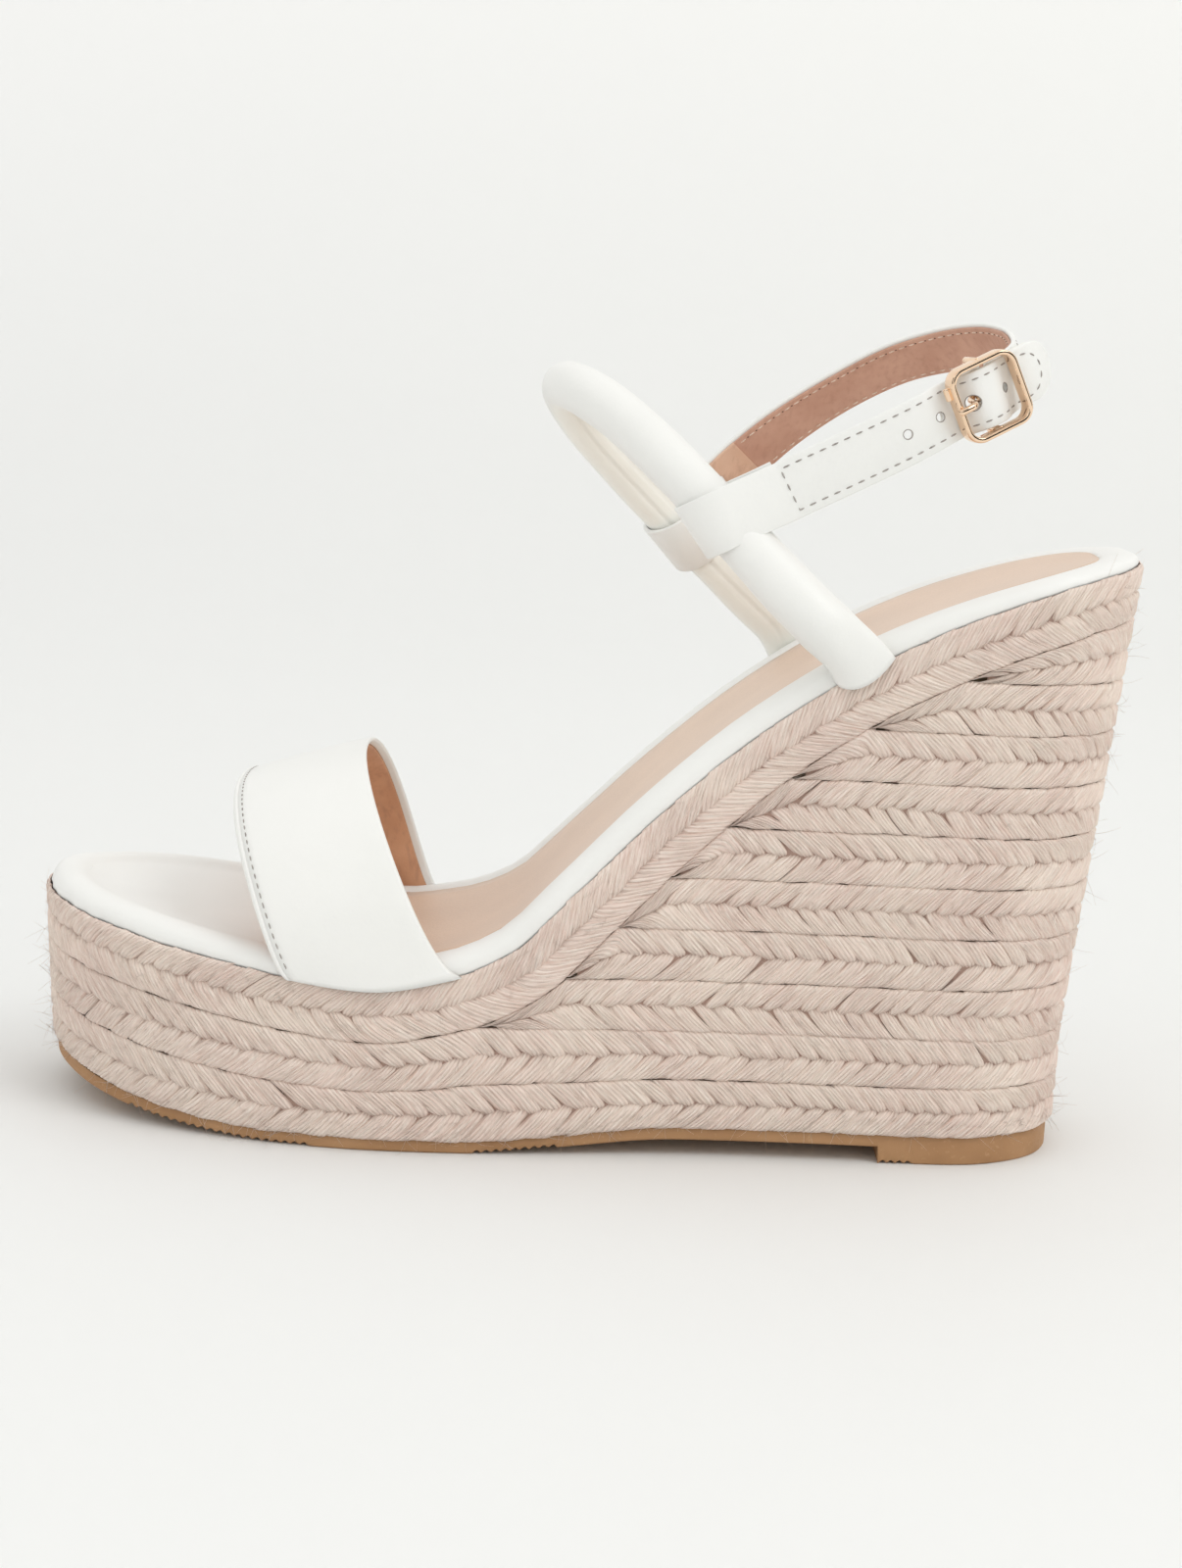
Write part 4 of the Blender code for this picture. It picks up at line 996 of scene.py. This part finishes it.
def edge_at_x(x, inner_side):
    """Plan y of the sandal's edge at this x."""
    points = EDGE[EDGE_ALONG > HEEL_ALONG if inner_side else EDGE_ALONG <= HEEL_ALONG]
    order = np.argsort(points[:, 0])
    return np.interp(x, points[order, 0], points[order, 1])


def vamp_point(across, back, out):
    """Points of the vamp: across 0 to 1 from outer to inner foot, back 0 to 1 from front to back edge."""
    across, back, out = (np.asarray(v, float) for v in np.broadcast_arrays(across, back, out))
    feet = [front + (rear - front) * back for front, rear in zip(VAMP_FRONT_FEET, VAMP_BACK_FEET)]
    outer_y = edge_at_x(feet[0], False) - out
    inner_y = edge_at_x(feet[1], True) + out
    top_x = VAMP_FRONT_TOP[0] + (VAMP_BACK_TOP[0] - VAMP_FRONT_TOP[0]) * back
    top_z = VAMP_FRONT_TOP[1] + (VAMP_BACK_TOP[1] - VAMP_FRONT_TOP[1]) * back + out - VAMP_BULGE
    # A squarish arch across the foot, which leans forward as it rises.
    turn = math.pi * np.clip(across, 0, 1)
    sideways = -np.sign(np.cos(turn)) * np.abs(np.cos(turn)) ** (2 / VAMP_ARCH_POWER)
    rise = np.maximum(np.sin(turn), 0) ** (2 / VAMP_ARCH_POWER)
    y = (outer_y + inner_y) / 2 + (inner_y - outer_y) / 2 * sideways
    foot_x = feet[0] + (feet[1] - feet[0]) * (1 + sideways) / 2
    foot_z = footbed_height(foot_x) + FOOT_DEPTH
    sweep_power = VAMP_SWEEP[0] + (VAMP_SWEEP[1] - VAMP_SWEEP[0]) * back
    lean = np.maximum(0, 0.65 * rise + 0.35 * (1 - sideways**2)) ** sweep_power
    return np.stack([foot_x + (top_x - foot_x) * lean, y, foot_z + (top_z - foot_z) * rise], axis=-1)


def vamp_across(count):
    """Even steps over the arch, closer together at its feet, where it turns fastest."""
    even = np.linspace(0, 1, count)
    return even - 0.55 * np.sin(2 * math.pi * even) / (2 * math.pi)


def vamp_sheet(name, look, outer_steps, inner_steps, count=96):
    """A sheet over the arch, through (back, out) pairs on its outer face and then on its inner one."""
    pairs = np.array(outer_steps + inner_steps[::-1])
    across = vamp_across(count)[:, None]
    return sweep(name, vamp_point(across, pairs[None, :, 0], pairs[None, :, 1]), look)


def build_vamp():
    binding = BINDING_WIDTH / VAMP_LENGTH
    swell = [(b, VAMP_BULGE + 0.35 * math.sin(math.pi * b)) for b in np.linspace(binding * 0.8, 0.985, 14)]
    rolled = [(0.985 + VAMP_FOLD * 1.2, VAMP_BULGE - 0.15), (1.0 + VAMP_FOLD * 0.7, VAMP_BULGE - 0.6)]
    inner = [(b, VAMP_BULGE - 1.15) for b in np.linspace(binding * 0.8, 0.99, 8)]
    outer = vamp_sheet("vamp_leather", WHITE, swell + rolled, inner)
    settle(outer, "sandal_base", "white_faux_leather", ["vamp_outer"])
    lining_out = VAMP_BULGE - 1.2
    lining = vamp_sheet("vamp_lining_leather", TOE_LINING,
                        [(b, lining_out) for b in np.linspace(0.05, 0.955, 8)],
                        [(b, lining_out - 0.6) for b in np.linspace(0.05, 0.95, 8)])
    settle(lining, "sandal_base", "lining_leather", ["vamp_lining"])
    tape = [(binding * (0.5 + 0.5 * math.cos(t)), VAMP_BULGE - 0.75 + math.sin(t)) for t in turn_angles(16)]
    edge = vamp_sheet("vamp_edge_binding", WHITE, tape, [])
    settle(edge, "sandal_base", "white_faux_leather", ["vamp_binding"])
    seam_at = np.linspace(0.012, 0.985, 400)
    path, over = (vamp_point(seam_at, binding + 0.75 / VAMP_LENGTH, VAMP_BULGE + out) for out in (0.1, 1.1))
    seam = stitch_line("vamp_stitches", path, unit(over - path), THREAD_AND_HOLE_SHADE, 2.1, 1.35, 0.14)
    settle(seam, "sandal_base")


# --- instep tube ---


def tube_frames(count):
    """Centres along the padded tube, with its direction and the way square to its loop at each."""
    centres = even_path(TUBE_ROUTE, count)
    tangents = unit(np.gradient(centres, axis=0))
    square = unit(np.array(TUBE_LOOP_NORMAL))
    square = unit(square - (tangents @ square)[:, None] * tangents)
    return centres, tangents, square


def build_instep_tube():
    """The padded tube: round, with a seamed inner side, pressed flat where it is sewn to the footbed."""
    count = 170
    centres, tangents, square = tube_frames(count)
    round_way = np.cross(tangents, square)
    round_way *= np.sign(((TUBE_LOOP_MIDDLE - centres) * round_way).sum(axis=1))[:, None]
    along = arc_lengths(centres)
    angles = turn_angles(64)
    # Round along its free length and flat at its feet, with two dented seams on the inner side.
    flat = 1 - smooth_step(np.minimum(along, along[-1] - along), 0, TUBE_FOOT_REACH)[:, None]
    radius = np.interp(along / along[-1], *np.array(TUBE_RADII).T)[:, None]
    inner_side = np.exp(-((angles - math.pi / 2) / 0.5) ** 2)
    seams = sum(np.exp(-((angles - math.pi / 2 - place) / 0.07) ** 2) for place in (-0.42, 0.22))
    ease = 1 - (0.05 * inner_side + 0.08 * seams) * (1 - flat)
    ease += 0.006 * np.sin(along[:, None] * 0.35 + 2 * angles)
    wide = (radius + (TUBE_FOOT_HALF_LENGTH - radius) * flat) * ease * np.cos(angles)
    thick = (radius + (TUBE_FOOT_HALF_THICKNESS - radius) * flat) * ease * np.sin(angles)
    sections = centres[:, None] + wide[..., None] * square[:, None] + thick[..., None] * round_way[:, None]
    # Each foot sits on the footbed's edge and bulges down over it.
    for end in (0, -1):
        x = sections[end, :, 0]
        share = (x - x.mean()) / (0.5 * np.ptp(x))
        seat = footbed_height(x) + RIM_LAP - TUBE_FOOT_BULGE * np.maximum(0, 1 - share**2)
        reach = 1 - smooth_step(np.abs(along - along[end]), 0, TUBE_FOOT_REACH)
        sections[:, :, 2] += reach[:, None] * (seat - sections[end, :, 2])
    inner = np.tile(smooth_step(np.sin(angles), 0.1, 0.55), count)
    obj = sweep("instep_tube", sections, TUBE, uv_scale=0.7, shade=inner)
    settle(obj, "sandal_base", "white_faux_leather", ["instep_tube_cover"])


# --- straps ---


def buckle_axes():
    """Directions of the buckle: along the strap to its tip, across it upwards, and out of the foot."""
    flat = np.array([math.cos(BUCKLE_YAW), math.sin(BUCKLE_YAW), 0.0])
    along = math.cos(BUCKLE_RISE) * flat + math.sin(BUCKLE_RISE) * np.array([0.0, 0.0, 1.0])
    out = np.array([math.sin(BUCKLE_YAW), -math.cos(BUCKLE_YAW), 0.0])
    return along, np.cross(out, along), out


ALONG, ACROSS, OUT = buckle_axes()


def at_buckle(along, out, across=0.0):
    return np.array(BUCKLE_CENTRE) + along * ALONG + out * OUT + across * ACROSS


LATERAL_STRAP = [
    (33.5, -32.1, 132.3, 0), (39.0, -32.4, 135.4, 0), (48.0, -32.4, 140.2, 0), (58.0, -31.4, 145.6, 0),
    (*at_buckle(-11.5, -1.1), 0), (*at_buckle(-7.0, -1.9), 0), (*at_buckle(-4.6, -1.0), 0),
    (*at_buckle(-1.6, 0.95), 0), (*at_buckle(1.6, 0.95), 0), (*at_buckle(4.6, -1.0), 0),
    (*at_buckle(7.0, -1.9), 0), (*at_buckle(11.0, -2.3), 0), (*at_buckle(16.5, -4.2), 0),
]
HEEL_STRAP = [
    (*at_buckle(2.6, BAR_DEPTH - 0.6), 0), (*at_buckle(5.5, -4.3), 0), (*at_buckle(9.5, -5.8), -6),
    (81.8, -14.0, 160.6, -20), (81.6, -4.0, 162.6, -32), (77.8, 6.0, 163.4, -40), (70.6, 14.4, 162.2, -46),
    (61.0, 20.4, 158.8, -50), (50.0, 24.6, 152.4, -50), (38.6, 27.4, 144.0, -42), (29.6, 28.6, 135.4, -30),
    (24.6, 28.6, 129.6, -22),
]


def strap_frames(route, count):
    """Middles along a strap, with its outward and upward directions, which its small waves don't twist."""
    points = even_path(route, count)
    centres, lean = points[:, :3], np.radians(points[:, 3])[:, None]
    tangents = unit(np.gradient(centres, axis=0))
    window = round(CALM_REACH / arc_lengths(centres)[-1] * count)
    padded = np.pad(tangents, ((window, window), (0, 0)), mode="edge")
    calm = unit(np.stack([padded[i:i + 2 * window + 1].mean(axis=0) for i in range(count)]))
    up = unit(np.array([0.0, 0.0, 1.0]) - calm * calm[:, 2:3])
    up = unit(up - tangents * (up * tangents).sum(axis=1, keepdims=True))
    out = np.cross(tangents, up)
    return centres, out * np.cos(lean) - up * np.sin(lean), up * np.cos(lean) + out * np.sin(lean)


def tube_at(point):
    """The tube's centre nearest to a point, with its direction there."""
    centres, tangents, _ = tube_frames(600)
    nearest = np.argmin(np.linalg.norm(centres - np.array(point), axis=1))
    return centres[nearest], tangents[nearest]


class StrapLine:
    """The middle of a strap's leather, from its end under the wrap on the tube to its far end."""

    def __init__(self, route, side, count=400):
        centres, out, up = strap_frames(route, 260)
        if route is HEEL_STRAP:
            centres, out, up = centres[::-1], out[::-1], up[::-1]
        start = centres[0]
        forward = unit(centres[6] - start)
        tilt = WRAP_TILT[side]
        wrap_up = unit(up[0] * math.cos(tilt) + forward * math.sin(tilt))
        wrap_out = unit(out[0] - wrap_up * (out[0] @ wrap_up))
        along = np.cross(wrap_up, wrap_out)
        self.along = along if along @ forward > 0 else -along
        # The route: the hidden end, a turn round the tube, then the strap's own route.
        tube_centre, tube_way = tube_at(WRAP_CENTRES[side])
        ahead = (start - tube_centre) @ self.along
        aside = (start - tube_centre) @ wrap_out + 0.5
        under = [tube_centre + self.along * (ahead + WRAP_REACH) + wrap_out * (aside - 2.3),
                 tube_centre + self.along * (ahead - 1.5) + wrap_out * (aside - 3.0)]
        ahead_radius, out_radius = WRAP_RADII
        circle = [tube_centre + ahead_radius * math.cos(t) * self.along + out_radius * math.sin(t) * wrap_out
                  for t in np.radians(np.linspace(*WRAP_ARC, WRAP_STEPS))]
        after = arc_lengths(centres) > WRAP_JOIN
        strap = (centres + 0.5 * out)[after]
        points = np.vstack([under, circle, strap[::6], strap[-1:]])
        wrapped = len(under) + len(circle)
        free = len(points) - wrapped
        # With each point: the way up, whether it is past the wrap, and how far it follows the tube.
        ups = np.vstack([np.tile(wrap_up, (wrapped, 1)), up[after][::6], up[-1:]])
        fade = np.concatenate([np.zeros(wrapped), np.ones(free)])
        bow = np.sin(np.linspace(0.25, math.pi - 0.05, WRAP_STEPS))
        skew = np.concatenate([np.full(2, 0.2), bow, np.zeros(free)])
        packed = even_path(np.column_stack([points, ups, fade, skew]), count, 4)
        self.points = packed[:, :3]
        self.tangents = unit(np.gradient(self.points, axis=0))
        # A frame without the small wobbles of the points.
        kernel = np.hanning(25) / np.hanning(25).sum()
        padded = np.pad(packed[:, 3:6], ((12, 12), (0, 0)), mode="edge")
        calm = np.stack([np.convolve(column, kernel, mode="valid") for column in padded.T], axis=1)
        self.up = unit(calm - self.tangents * (calm * self.tangents).sum(axis=1, keepdims=True))
        facing = np.cross(self.tangents, self.up)
        self.out = facing * np.sign((facing[-60:] * out[-1]).sum())
        self.skew = WRAP_FOLLOW * packed[:, 7:8] * (tube_way / (tube_way @ wrap_up) - wrap_up)
        self.lengths = arc_lengths(self.points)
        self.strap_start = np.interp(0.5, packed[:, 6], self.lengths)

    def at(self, along, across=0.0, lift=0.0):
        """Points at distances along the leather, across it and above its middle."""
        across, lift = np.asarray(across, float)[..., None], np.asarray(lift, float)[..., None]
        up = read_off(along, self.lengths, self.up + self.skew)
        out = read_off(along, self.lengths, self.out)
        return read_off(along, self.lengths, self.points) + up * across + out * lift

    def distance_at(self, point):
        """How far along the leather it passes a point, on the strap side of the wrap."""
        far = self.lengths > self.strap_start - 2
        return self.lengths[far][np.argmin(np.linalg.norm(self.points[far] - np.array(point), axis=1))]


def strip(name, line, start, end, half, top, bottom, look, round_end=False):
    """A flat strip of leather between two distances along a strap's line, with softened long edges."""
    along = np.linspace(start, end, max(12, int((end - start) / STRIP_STEP)))
    if round_end:
        along = np.sort(np.concatenate([along, end - STRAP_END_RADIUS * np.linspace(0.002, 0.3, 12) ** 1.6]))
    reach = np.clip(STRAP_END_RADIUS - (end - along), 0, STRAP_END_RADIUS - 0.02) if round_end else 0 * along
    halves = half * np.maximum(0.002, 1 - (reach / STRAP_END_RADIUS) ** 2.6) ** (1 / 2.2)
    sections = []
    for distance, h in zip(along, halves):
        r = min(STRIP_ROUNDING, 0.4 * h)
        soft = 0.45 * r
        lifts = [top, top, top, top - soft, top - r, bottom + r, bottom + soft, bottom, bottom, bottom,
                 bottom + soft, bottom + r, top - r, top - soft]
        edge = h - r * 0.25
        spans = [r - h, 0, h - r, edge, h, h, edge, h - r, 0, r - h, -edge, -h, -h, -edge]
        sections.append(line.at(distance, spans, lifts))
    return sweep(name, sections, look)


def seam_track(line, start, end, lift, half=STRAP_WIDTH / 2 - STITCH_INSET, boxed=False):
    """The path of a strap's stitching, with the way out of the leather; a boxed one goes round both ends."""
    straight = end - (STRAP_END_RADIUS if boxed else 0)
    steps = np.linspace(start, straight, 300)
    track = [(steps, np.full(300, half)), (steps[::-1], np.full(300, -half))]
    if boxed:
        turn = np.linspace(math.pi / 2, -math.pi / 2, 60)
        track.insert(1, (straight + half * np.cos(turn), half * np.sin(turn)))
        track.append((np.full(30, start), np.linspace(-half, half, 30)))
    along, across = np.hstack(track)
    path = line.at(along, across, lift)
    return path, line.at(along, across, lift + 1) - path


def hole_rings(line, places, lift, bead=0.11):
    """Dark grey rings round the punched holes' edges: painted shade in the holes."""
    turn, round_bead = turn_angles(HOLE_SIDES)[:, None], turn_angles(8)
    rings = []
    for distance, radius in places:
        reach = radius + bead * np.cos(round_bead)
        height = lift + bead * np.sin(round_bead) + 0 * turn
        points = line.at(distance + reach * np.cos(turn), reach * np.sin(turn), height)
        rings.append((points, grid_faces(HOLE_SIDES, 8, True, True)))
    # The rings take the thread's dark grey as painted shade.
    return fix_normals(join_meshes("perforated_strap_hole_edges", rings, THREAD_AND_HOLE_SHADE))


def punch(obj, line, places):
    """Cuts round holes through a strap's layer."""
    for number, (distance, radius) in enumerate(places):
        nearest = np.argmin(np.abs(line.lengths - distance))
        bpy.ops.mesh.primitive_cylinder_add(vertices=HOLE_SIDES, radius=radius * MM, depth=8 * MM)
        cutter = bpy.context.object
        cutter.name = f"{obj.name}_punch_{number}"
        cutter.location = Vector(line.at(distance)) * MM
        cutter.rotation_euler = Vector(line.out[nearest]).to_track_quat("Z", "Y").to_euler()
        modifier = obj.modifiers.new(cutter.name, "BOOLEAN")
        modifier.object = cutter
        modifier.operation = "DIFFERENCE"
    apply_booleans(obj)
    obj.data.set_sharp_from_angle(angle=math.radians(45))


def settle_strap(line, pivot, pieces):
    """Places (piece, slot, nodes) triples: bakes each piece's transform into its mesh and puts it in place
    of its nodes.
    """
    middle = line.at(line.distance_at(pivot))
    reach = line.along * BEND_REACH
    start, end = (middle - reach) * MM, (middle + reach) * MM
    for obj, slot, nodes in pieces:
        tuple(start)
        tuple(end)
        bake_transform(obj)
        settle(obj, None, slot, nodes)


def build_lateral_strap():
    """The perforated strap: wrapped round the tube's near side, sewn, and threaded through the buckle."""
    line = StrapLine(LATERAL_STRAP, "lateral")
    end = line.lengths[-1]
    half = STRAP_WIDTH / 2
    box_start = line.distance_at(BOX_STITCH_START)
    past_buckle = (line.points - np.array(BUCKLE_CENTRE)) @ ALONG
    beyond_start = line.lengths > line.strap_start + 20
    holes = []
    for number in range(-2, 2):
        away = np.abs(past_buckle - PRONG_HOLE - number * HOLE_PITCH)
        nearest = np.argmin(np.where(beyond_start, away, np.inf))
        holes.append((line.lengths[nearest], HOLE_RADIUS if number else PRONG_HOLE_RADIUS))
    leather = strip("perforated_strap_leather", line, 0.0, end, half, 0.5, -0.5, WHITE, round_end=True)
    punch(leather, line, holes)
    lining = strip("perforated_strap_backing", line, box_start - 3.0, end - 0.1, half - 0.15, -0.55, -1.25,
                   CREAM, round_end=True)
    punch(lining, line, [(distance, radius + 0.3) for distance, radius in holes])
    track = seam_track(line, box_start, end - STITCH_INSET, 0.5, boxed=True)
    seam = stitch_line("perforated_strap_stitches", *track, THREAD_AND_HOLE_SHADE, 2.55, 1.6)
    settle(hole_rings(line, holes, 0.47), "ankle_strap")
    settle_strap(line, LATERAL_PIVOT, (
        (leather, "white_faux_leather", ["lateral_strap_loop", "perforated_strap"]),
        (lining, "white_faux_leather", ["perforated_strap_lining"]), (seam, None, [])))


def build_heel_strap():
    """The strap behind the heel, white outside and pink-brown inside, wrapped round the tube's far side."""
    line = StrapLine(HEEL_STRAP, "medial")
    end = line.lengths[-1]
    half = STRAP_WIDTH / 2
    leather = strip("heel_strap_leather", line, 0.0, end, half, 0.5, -0.45, WHITE)
    lining_start = line.strap_start + DOUBLED_LENGTH
    doubled = strip("heel_strap_doubled_end", line, line.strap_start - 1.5, lining_start + 0.6, half - 0.35,
                    -0.47, -1.45, DOUBLED)
    lining = strip("heel_strap_lining_leather", line, lining_start, end - 0.4, half - 0.45, -0.47, -1.15,
                   LINING)
    path, way = seam_track(line, lining_start + 1.2, end - 1.0, -1.15)
    seam = stitch_line("heel_strap_stitches", path, -way, TAN_THREAD, 2.3, 1.45)
    shift = np.searchsorted(arc_lengths(path), 1.15)
    pricks = stitch_line("heel_strap_needle_pricks", path[shift:], -way[shift:], PRICK, 2.3, 0.5, 0.15)
    outer_track = seam_track(line, lining_start + 1.2, end - 1.0, 0.5)
    outer_seam = stitch_line("heel_strap_outer_stitches", *outer_track, THREAD_AND_HOLE_SHADE, 2.55, 1.6)
    settle_strap(line, MEDIAL_PIVOT, (
        (leather, "white_faux_leather", ["medial_strap_loop", "heel_strap"]),
        (lining, "lining_leather", ["heel_strap_lining"]), (doubled, "lining_leather", []),
        (seam, None, []), (pricks, None, []), (outer_seam, None, [])))


def build_buckle_fold():
    """The heel strap's end folded round the buckle's bar, in two halves beside the slot for the prong."""
    inner, outer = BAR_RADIUS + 0.2, BAR_RADIUS + 1.1
    bar = at_buckle(0, BAR_DEPTH)
    halves = []
    for side in (-1, 1):
        near, far = side * PRONG_SLOT / 2, side * (STRAP_WIDTH / 2 - 0.2)
        section = ((inner, near), (inner, far), (outer - 0.2, far), (outer, far - side * 0.25),
                   (outer, near + side * 0.25), (outer - 0.2, near))
        ways = [math.cos(t) * ALONG + math.sin(t) * OUT for t in turn_angles(40)]
        rings = np.array([[bar + way * radius + ACROSS * span for radius, span in section] for way in ways])
        halves.append((rings, grid_faces(40, 6, True, True)))
    fold = fix_normals(join_meshes("buckle_fold_leather", halves, WHITE))
    settle(fold, "ankle_strap", "white_faux_leather", ["heel_strap_buckle_fold"])


# --- buckle ---


def rounded_rectangle(half_length, half_width, corner, steps):
    points = []
    for quarter in range(4):
        cx = (half_length - corner) * (1 if quarter in (0, 3) else -1)
        cy = (half_width - corner) * (1 if quarter in (0, 1) else -1)
        for angle in np.linspace(math.pi / 2 * quarter, math.pi / 2 * (quarter + 1), steps):
            points.append((cx + corner * math.cos(angle), cy + corner * math.sin(angle)))
    return np.array(points)


def round_bar(start, end, radius, sides=24):
    """(points, quads) of a bar with slightly rounded ends."""
    axis = unit(end - start)
    flat = unit(np.cross(axis, [0.3, 0.5, 0.8]))
    other = np.cross(axis, flat)
    length = np.linalg.norm(end - start)
    profile = [(0, 0.0), (0, 0.7), (0.12, 0.95), (0.3, 1.0), (length - 0.3, 1.0), (length - 0.12, 0.95),
               (length, 0.7), (length, 0.0)]
    places, shares = np.array(profile).T
    radii = radius * np.maximum(shares, 0.01)
    rings = rings_round(start + places[:, None] * axis, flat, other, radii, sides)
    return rings, grid_faces(len(profile), sides, close_columns=True)


def build_buckle():
    """A deep rounded frame with a sunken centre bar."""
    path = rounded_rectangle(BUCKLE_HALF_LENGTH, BUCKLE_HALF_WIDTH, BUCKLE_CORNER, 12)
    tangents = unit(np.roll(path, -1, axis=0) - np.roll(path, 1, axis=0))
    turns = turn_angles(24)
    middle = BUCKLE_FRONT - BUCKLE_WIRE[1]
    sides, lifts = (half * np.sign(wave) * np.abs(wave) ** BUCKLE_SQUARENESS
                    for half, wave in zip(BUCKLE_WIRE, (np.cos(turns), np.sin(turns))))
    section = list(zip(sides, lifts))
    rings = np.array([[at_buckle(u + side * tv, middle + lift, v - side * tu) for side, lift in section]
                      for (u, v), (tu, tv) in zip(path, tangents)])
    # The centre bar with its two posts, and the small lug on the end nearer the tube.
    reach = BUCKLE_HALF_WIDTH + 0.7
    lug = -BUCKLE_HALF_LENGTH - 0.75
    bars = [((0, BAR_DEPTH, -reach), (0, BAR_DEPTH, reach), BAR_RADIUS)]
    for place in (-BUCKLE_HALF_WIDTH, BUCKLE_HALF_WIDTH):
        bars.append(((0, BAR_DEPTH - 0.7, place), (0, BUCKLE_LIFT, place), 0.85))
    bars.append(((lug, middle - 0.5, 2.4), (lug, middle - 0.5, 5.0), 0.75))
    parts = [(rings, grid_faces(len(path), 24, True, True))]
    parts += [round_bar(at_buckle(*start), at_buckle(*end), radius) for start, end, radius in bars]
    obj = fix_normals(join_meshes("gold_buckle_frame", parts, GOLD))
    settle(obj, "buckle", "pale_gold_metal", ["buckle_frame"])


def build_prong():
    """The pin, hooked round the bar, bent up through the strap and resting on the frame."""
    hook = BAR_RADIUS + 0.12 + PRONG_RADIUS
    rest = BUCKLE_FRONT + PRONG_RADIUS
    turns = np.radians((-80, -110, -140, -170))
    bends = [(hook * math.cos(turn), BAR_DEPTH + hook * math.sin(turn)) for turn in turns]
    bends += [(-2.6, -1.7), (-3.1, 0.4), (-3.5, 2.2)]
    bends += [(-4.6, rest - 0.3), (-6.4, rest + 0.05), (-8.2, rest - 0.05)]
    centres = even_path([at_buckle(*bend) for bend in bends], 60)
    square = unit(np.cross(unit(np.gradient(centres, axis=0)), ACROSS))
    taper = 1 - 0.75 * smooth_step(np.linspace(0, 1, 60), 0.95, 1.0) ** 2
    sections = rings_round(centres, 1.15 * ACROSS, square, PRONG_RADIUS * taper, 18)
    prong = sweep("gold_buckle_prong", sections, GOLD)
    settle(prong, "prong", "pale_gold_metal", ["buckle_prong"])


# --- scene ---


def build_stage():
    """A round floor that curves up into a wall all round."""
    half, corner, height, sides = 3200.0, 2300.0, 3000.0, 72
    profile = [(300.0, 0.0), (half - corner, 0.0)]
    for angle in np.linspace(0, math.pi / 2, 40)[1:]:
        profile.append((half - corner + corner * math.sin(angle), corner - corner * math.cos(angle)))
    profile.append((half, height))
    points = [[(r * math.cos(t), r * math.sin(t), z) for t in turn_angles(sides)] for r, z in profile]
    faces = grid_faces(len(points), sides, close_columns=True).tolist() + [list(range(sides))]
    floor = make_mesh("studio_floor", np.reshape(points, (-1, 3)), faces, FLOOR)


def add_area_light(name, place, aim, size, power):
    data = bpy.data.lights.new(name, "AREA")
    data.shape = "DISK"
    data.size = size * MM
    data.energy = power
    light = bpy.data.objects.new(name, data)
    light.location = Vector(place) * MM
    light.rotation_euler = (Vector(aim) - Vector(place)).to_track_quat("-Z", "Y").to_euler()
    bpy.context.scene.collection.objects.link(light)


def build_light():
    world = bpy.data.worlds.new("studio")
    bpy.context.scene.world = world
    world.use_nodes = True
    background = world.node_tree.nodes["Background"]
    background.inputs["Color"].default_value = (1.0, 0.995, 0.985, 1)
    background.inputs["Strength"].default_value = 0.99
    add_area_light("key_light", (1200, -800, 1500), (0, 0, 60), 1000, 7)
    add_area_light("fill_light", (-900, -1300, 900), (0, 0, 60), 1400, 1.2)


def build_cards():
    """Black cards off to the sides, which only polished surfaces see."""
    for number, (place, width, height) in enumerate(CARDS):
        middle = np.array(place, float)
        toward = unit(np.array([0.0, 0.0, 100.0]) - middle)
        across = unit(np.cross(toward, [0.0, 0.1, 1.0]))
        above = np.cross(across, toward)
        corners = [middle + across * a * width / 2 + above * b * height / 2
                   for a, b in ((-1, -1), (1, -1), (1, 1), (-1, 1))]
        card = make_mesh(f"black_card_{number}", corners, [(0, 1, 2, 3)], CARD)
        for ray in ("camera", "diffuse", "shadow", "transmission"):
            setattr(card, f"visible_{ray}", False)


def build_camera():
    place, aim = np.array(CAMERA_PLACE), np.array(CAMERA_AIM)
    forward = unit(aim - place)
    right = unit(np.cross(forward, [0, 0, 1]))
    up = np.cross(right, forward)
    rolled_right = right * math.cos(CAMERA_ROLL) + up * math.sin(CAMERA_ROLL)
    rolled_up = -right * math.sin(CAMERA_ROLL) + up * math.cos(CAMERA_ROLL)
    data = bpy.data.cameras.new("camera")
    data.lens = CAMERA_LENS
    data.sensor_width = 36
    data.clip_start = 0.01
    data.clip_end = 20
    camera = bpy.data.objects.new("camera", data)
    matrix = np.eye(4)
    matrix[:3] = np.column_stack([rolled_right, rolled_up, -forward, place * MM])
    camera.matrix_world = Matrix(matrix)
    bpy.context.scene.collection.objects.link(camera)
    bpy.context.scene.camera = camera


for build in (build_braids, build_fuzz, build_outsole, build_footbed_cover, build_sock, build_foam,
              finish_hidden_nodes, build_vamp, build_instep_tube, build_lateral_strap, build_heel_strap,
              build_buckle_fold, build_buckle, build_prong, build_stage, build_cards, build_light,
              build_camera):
    build()
bpy.context.scene.view_settings.view_transform = "Standard"
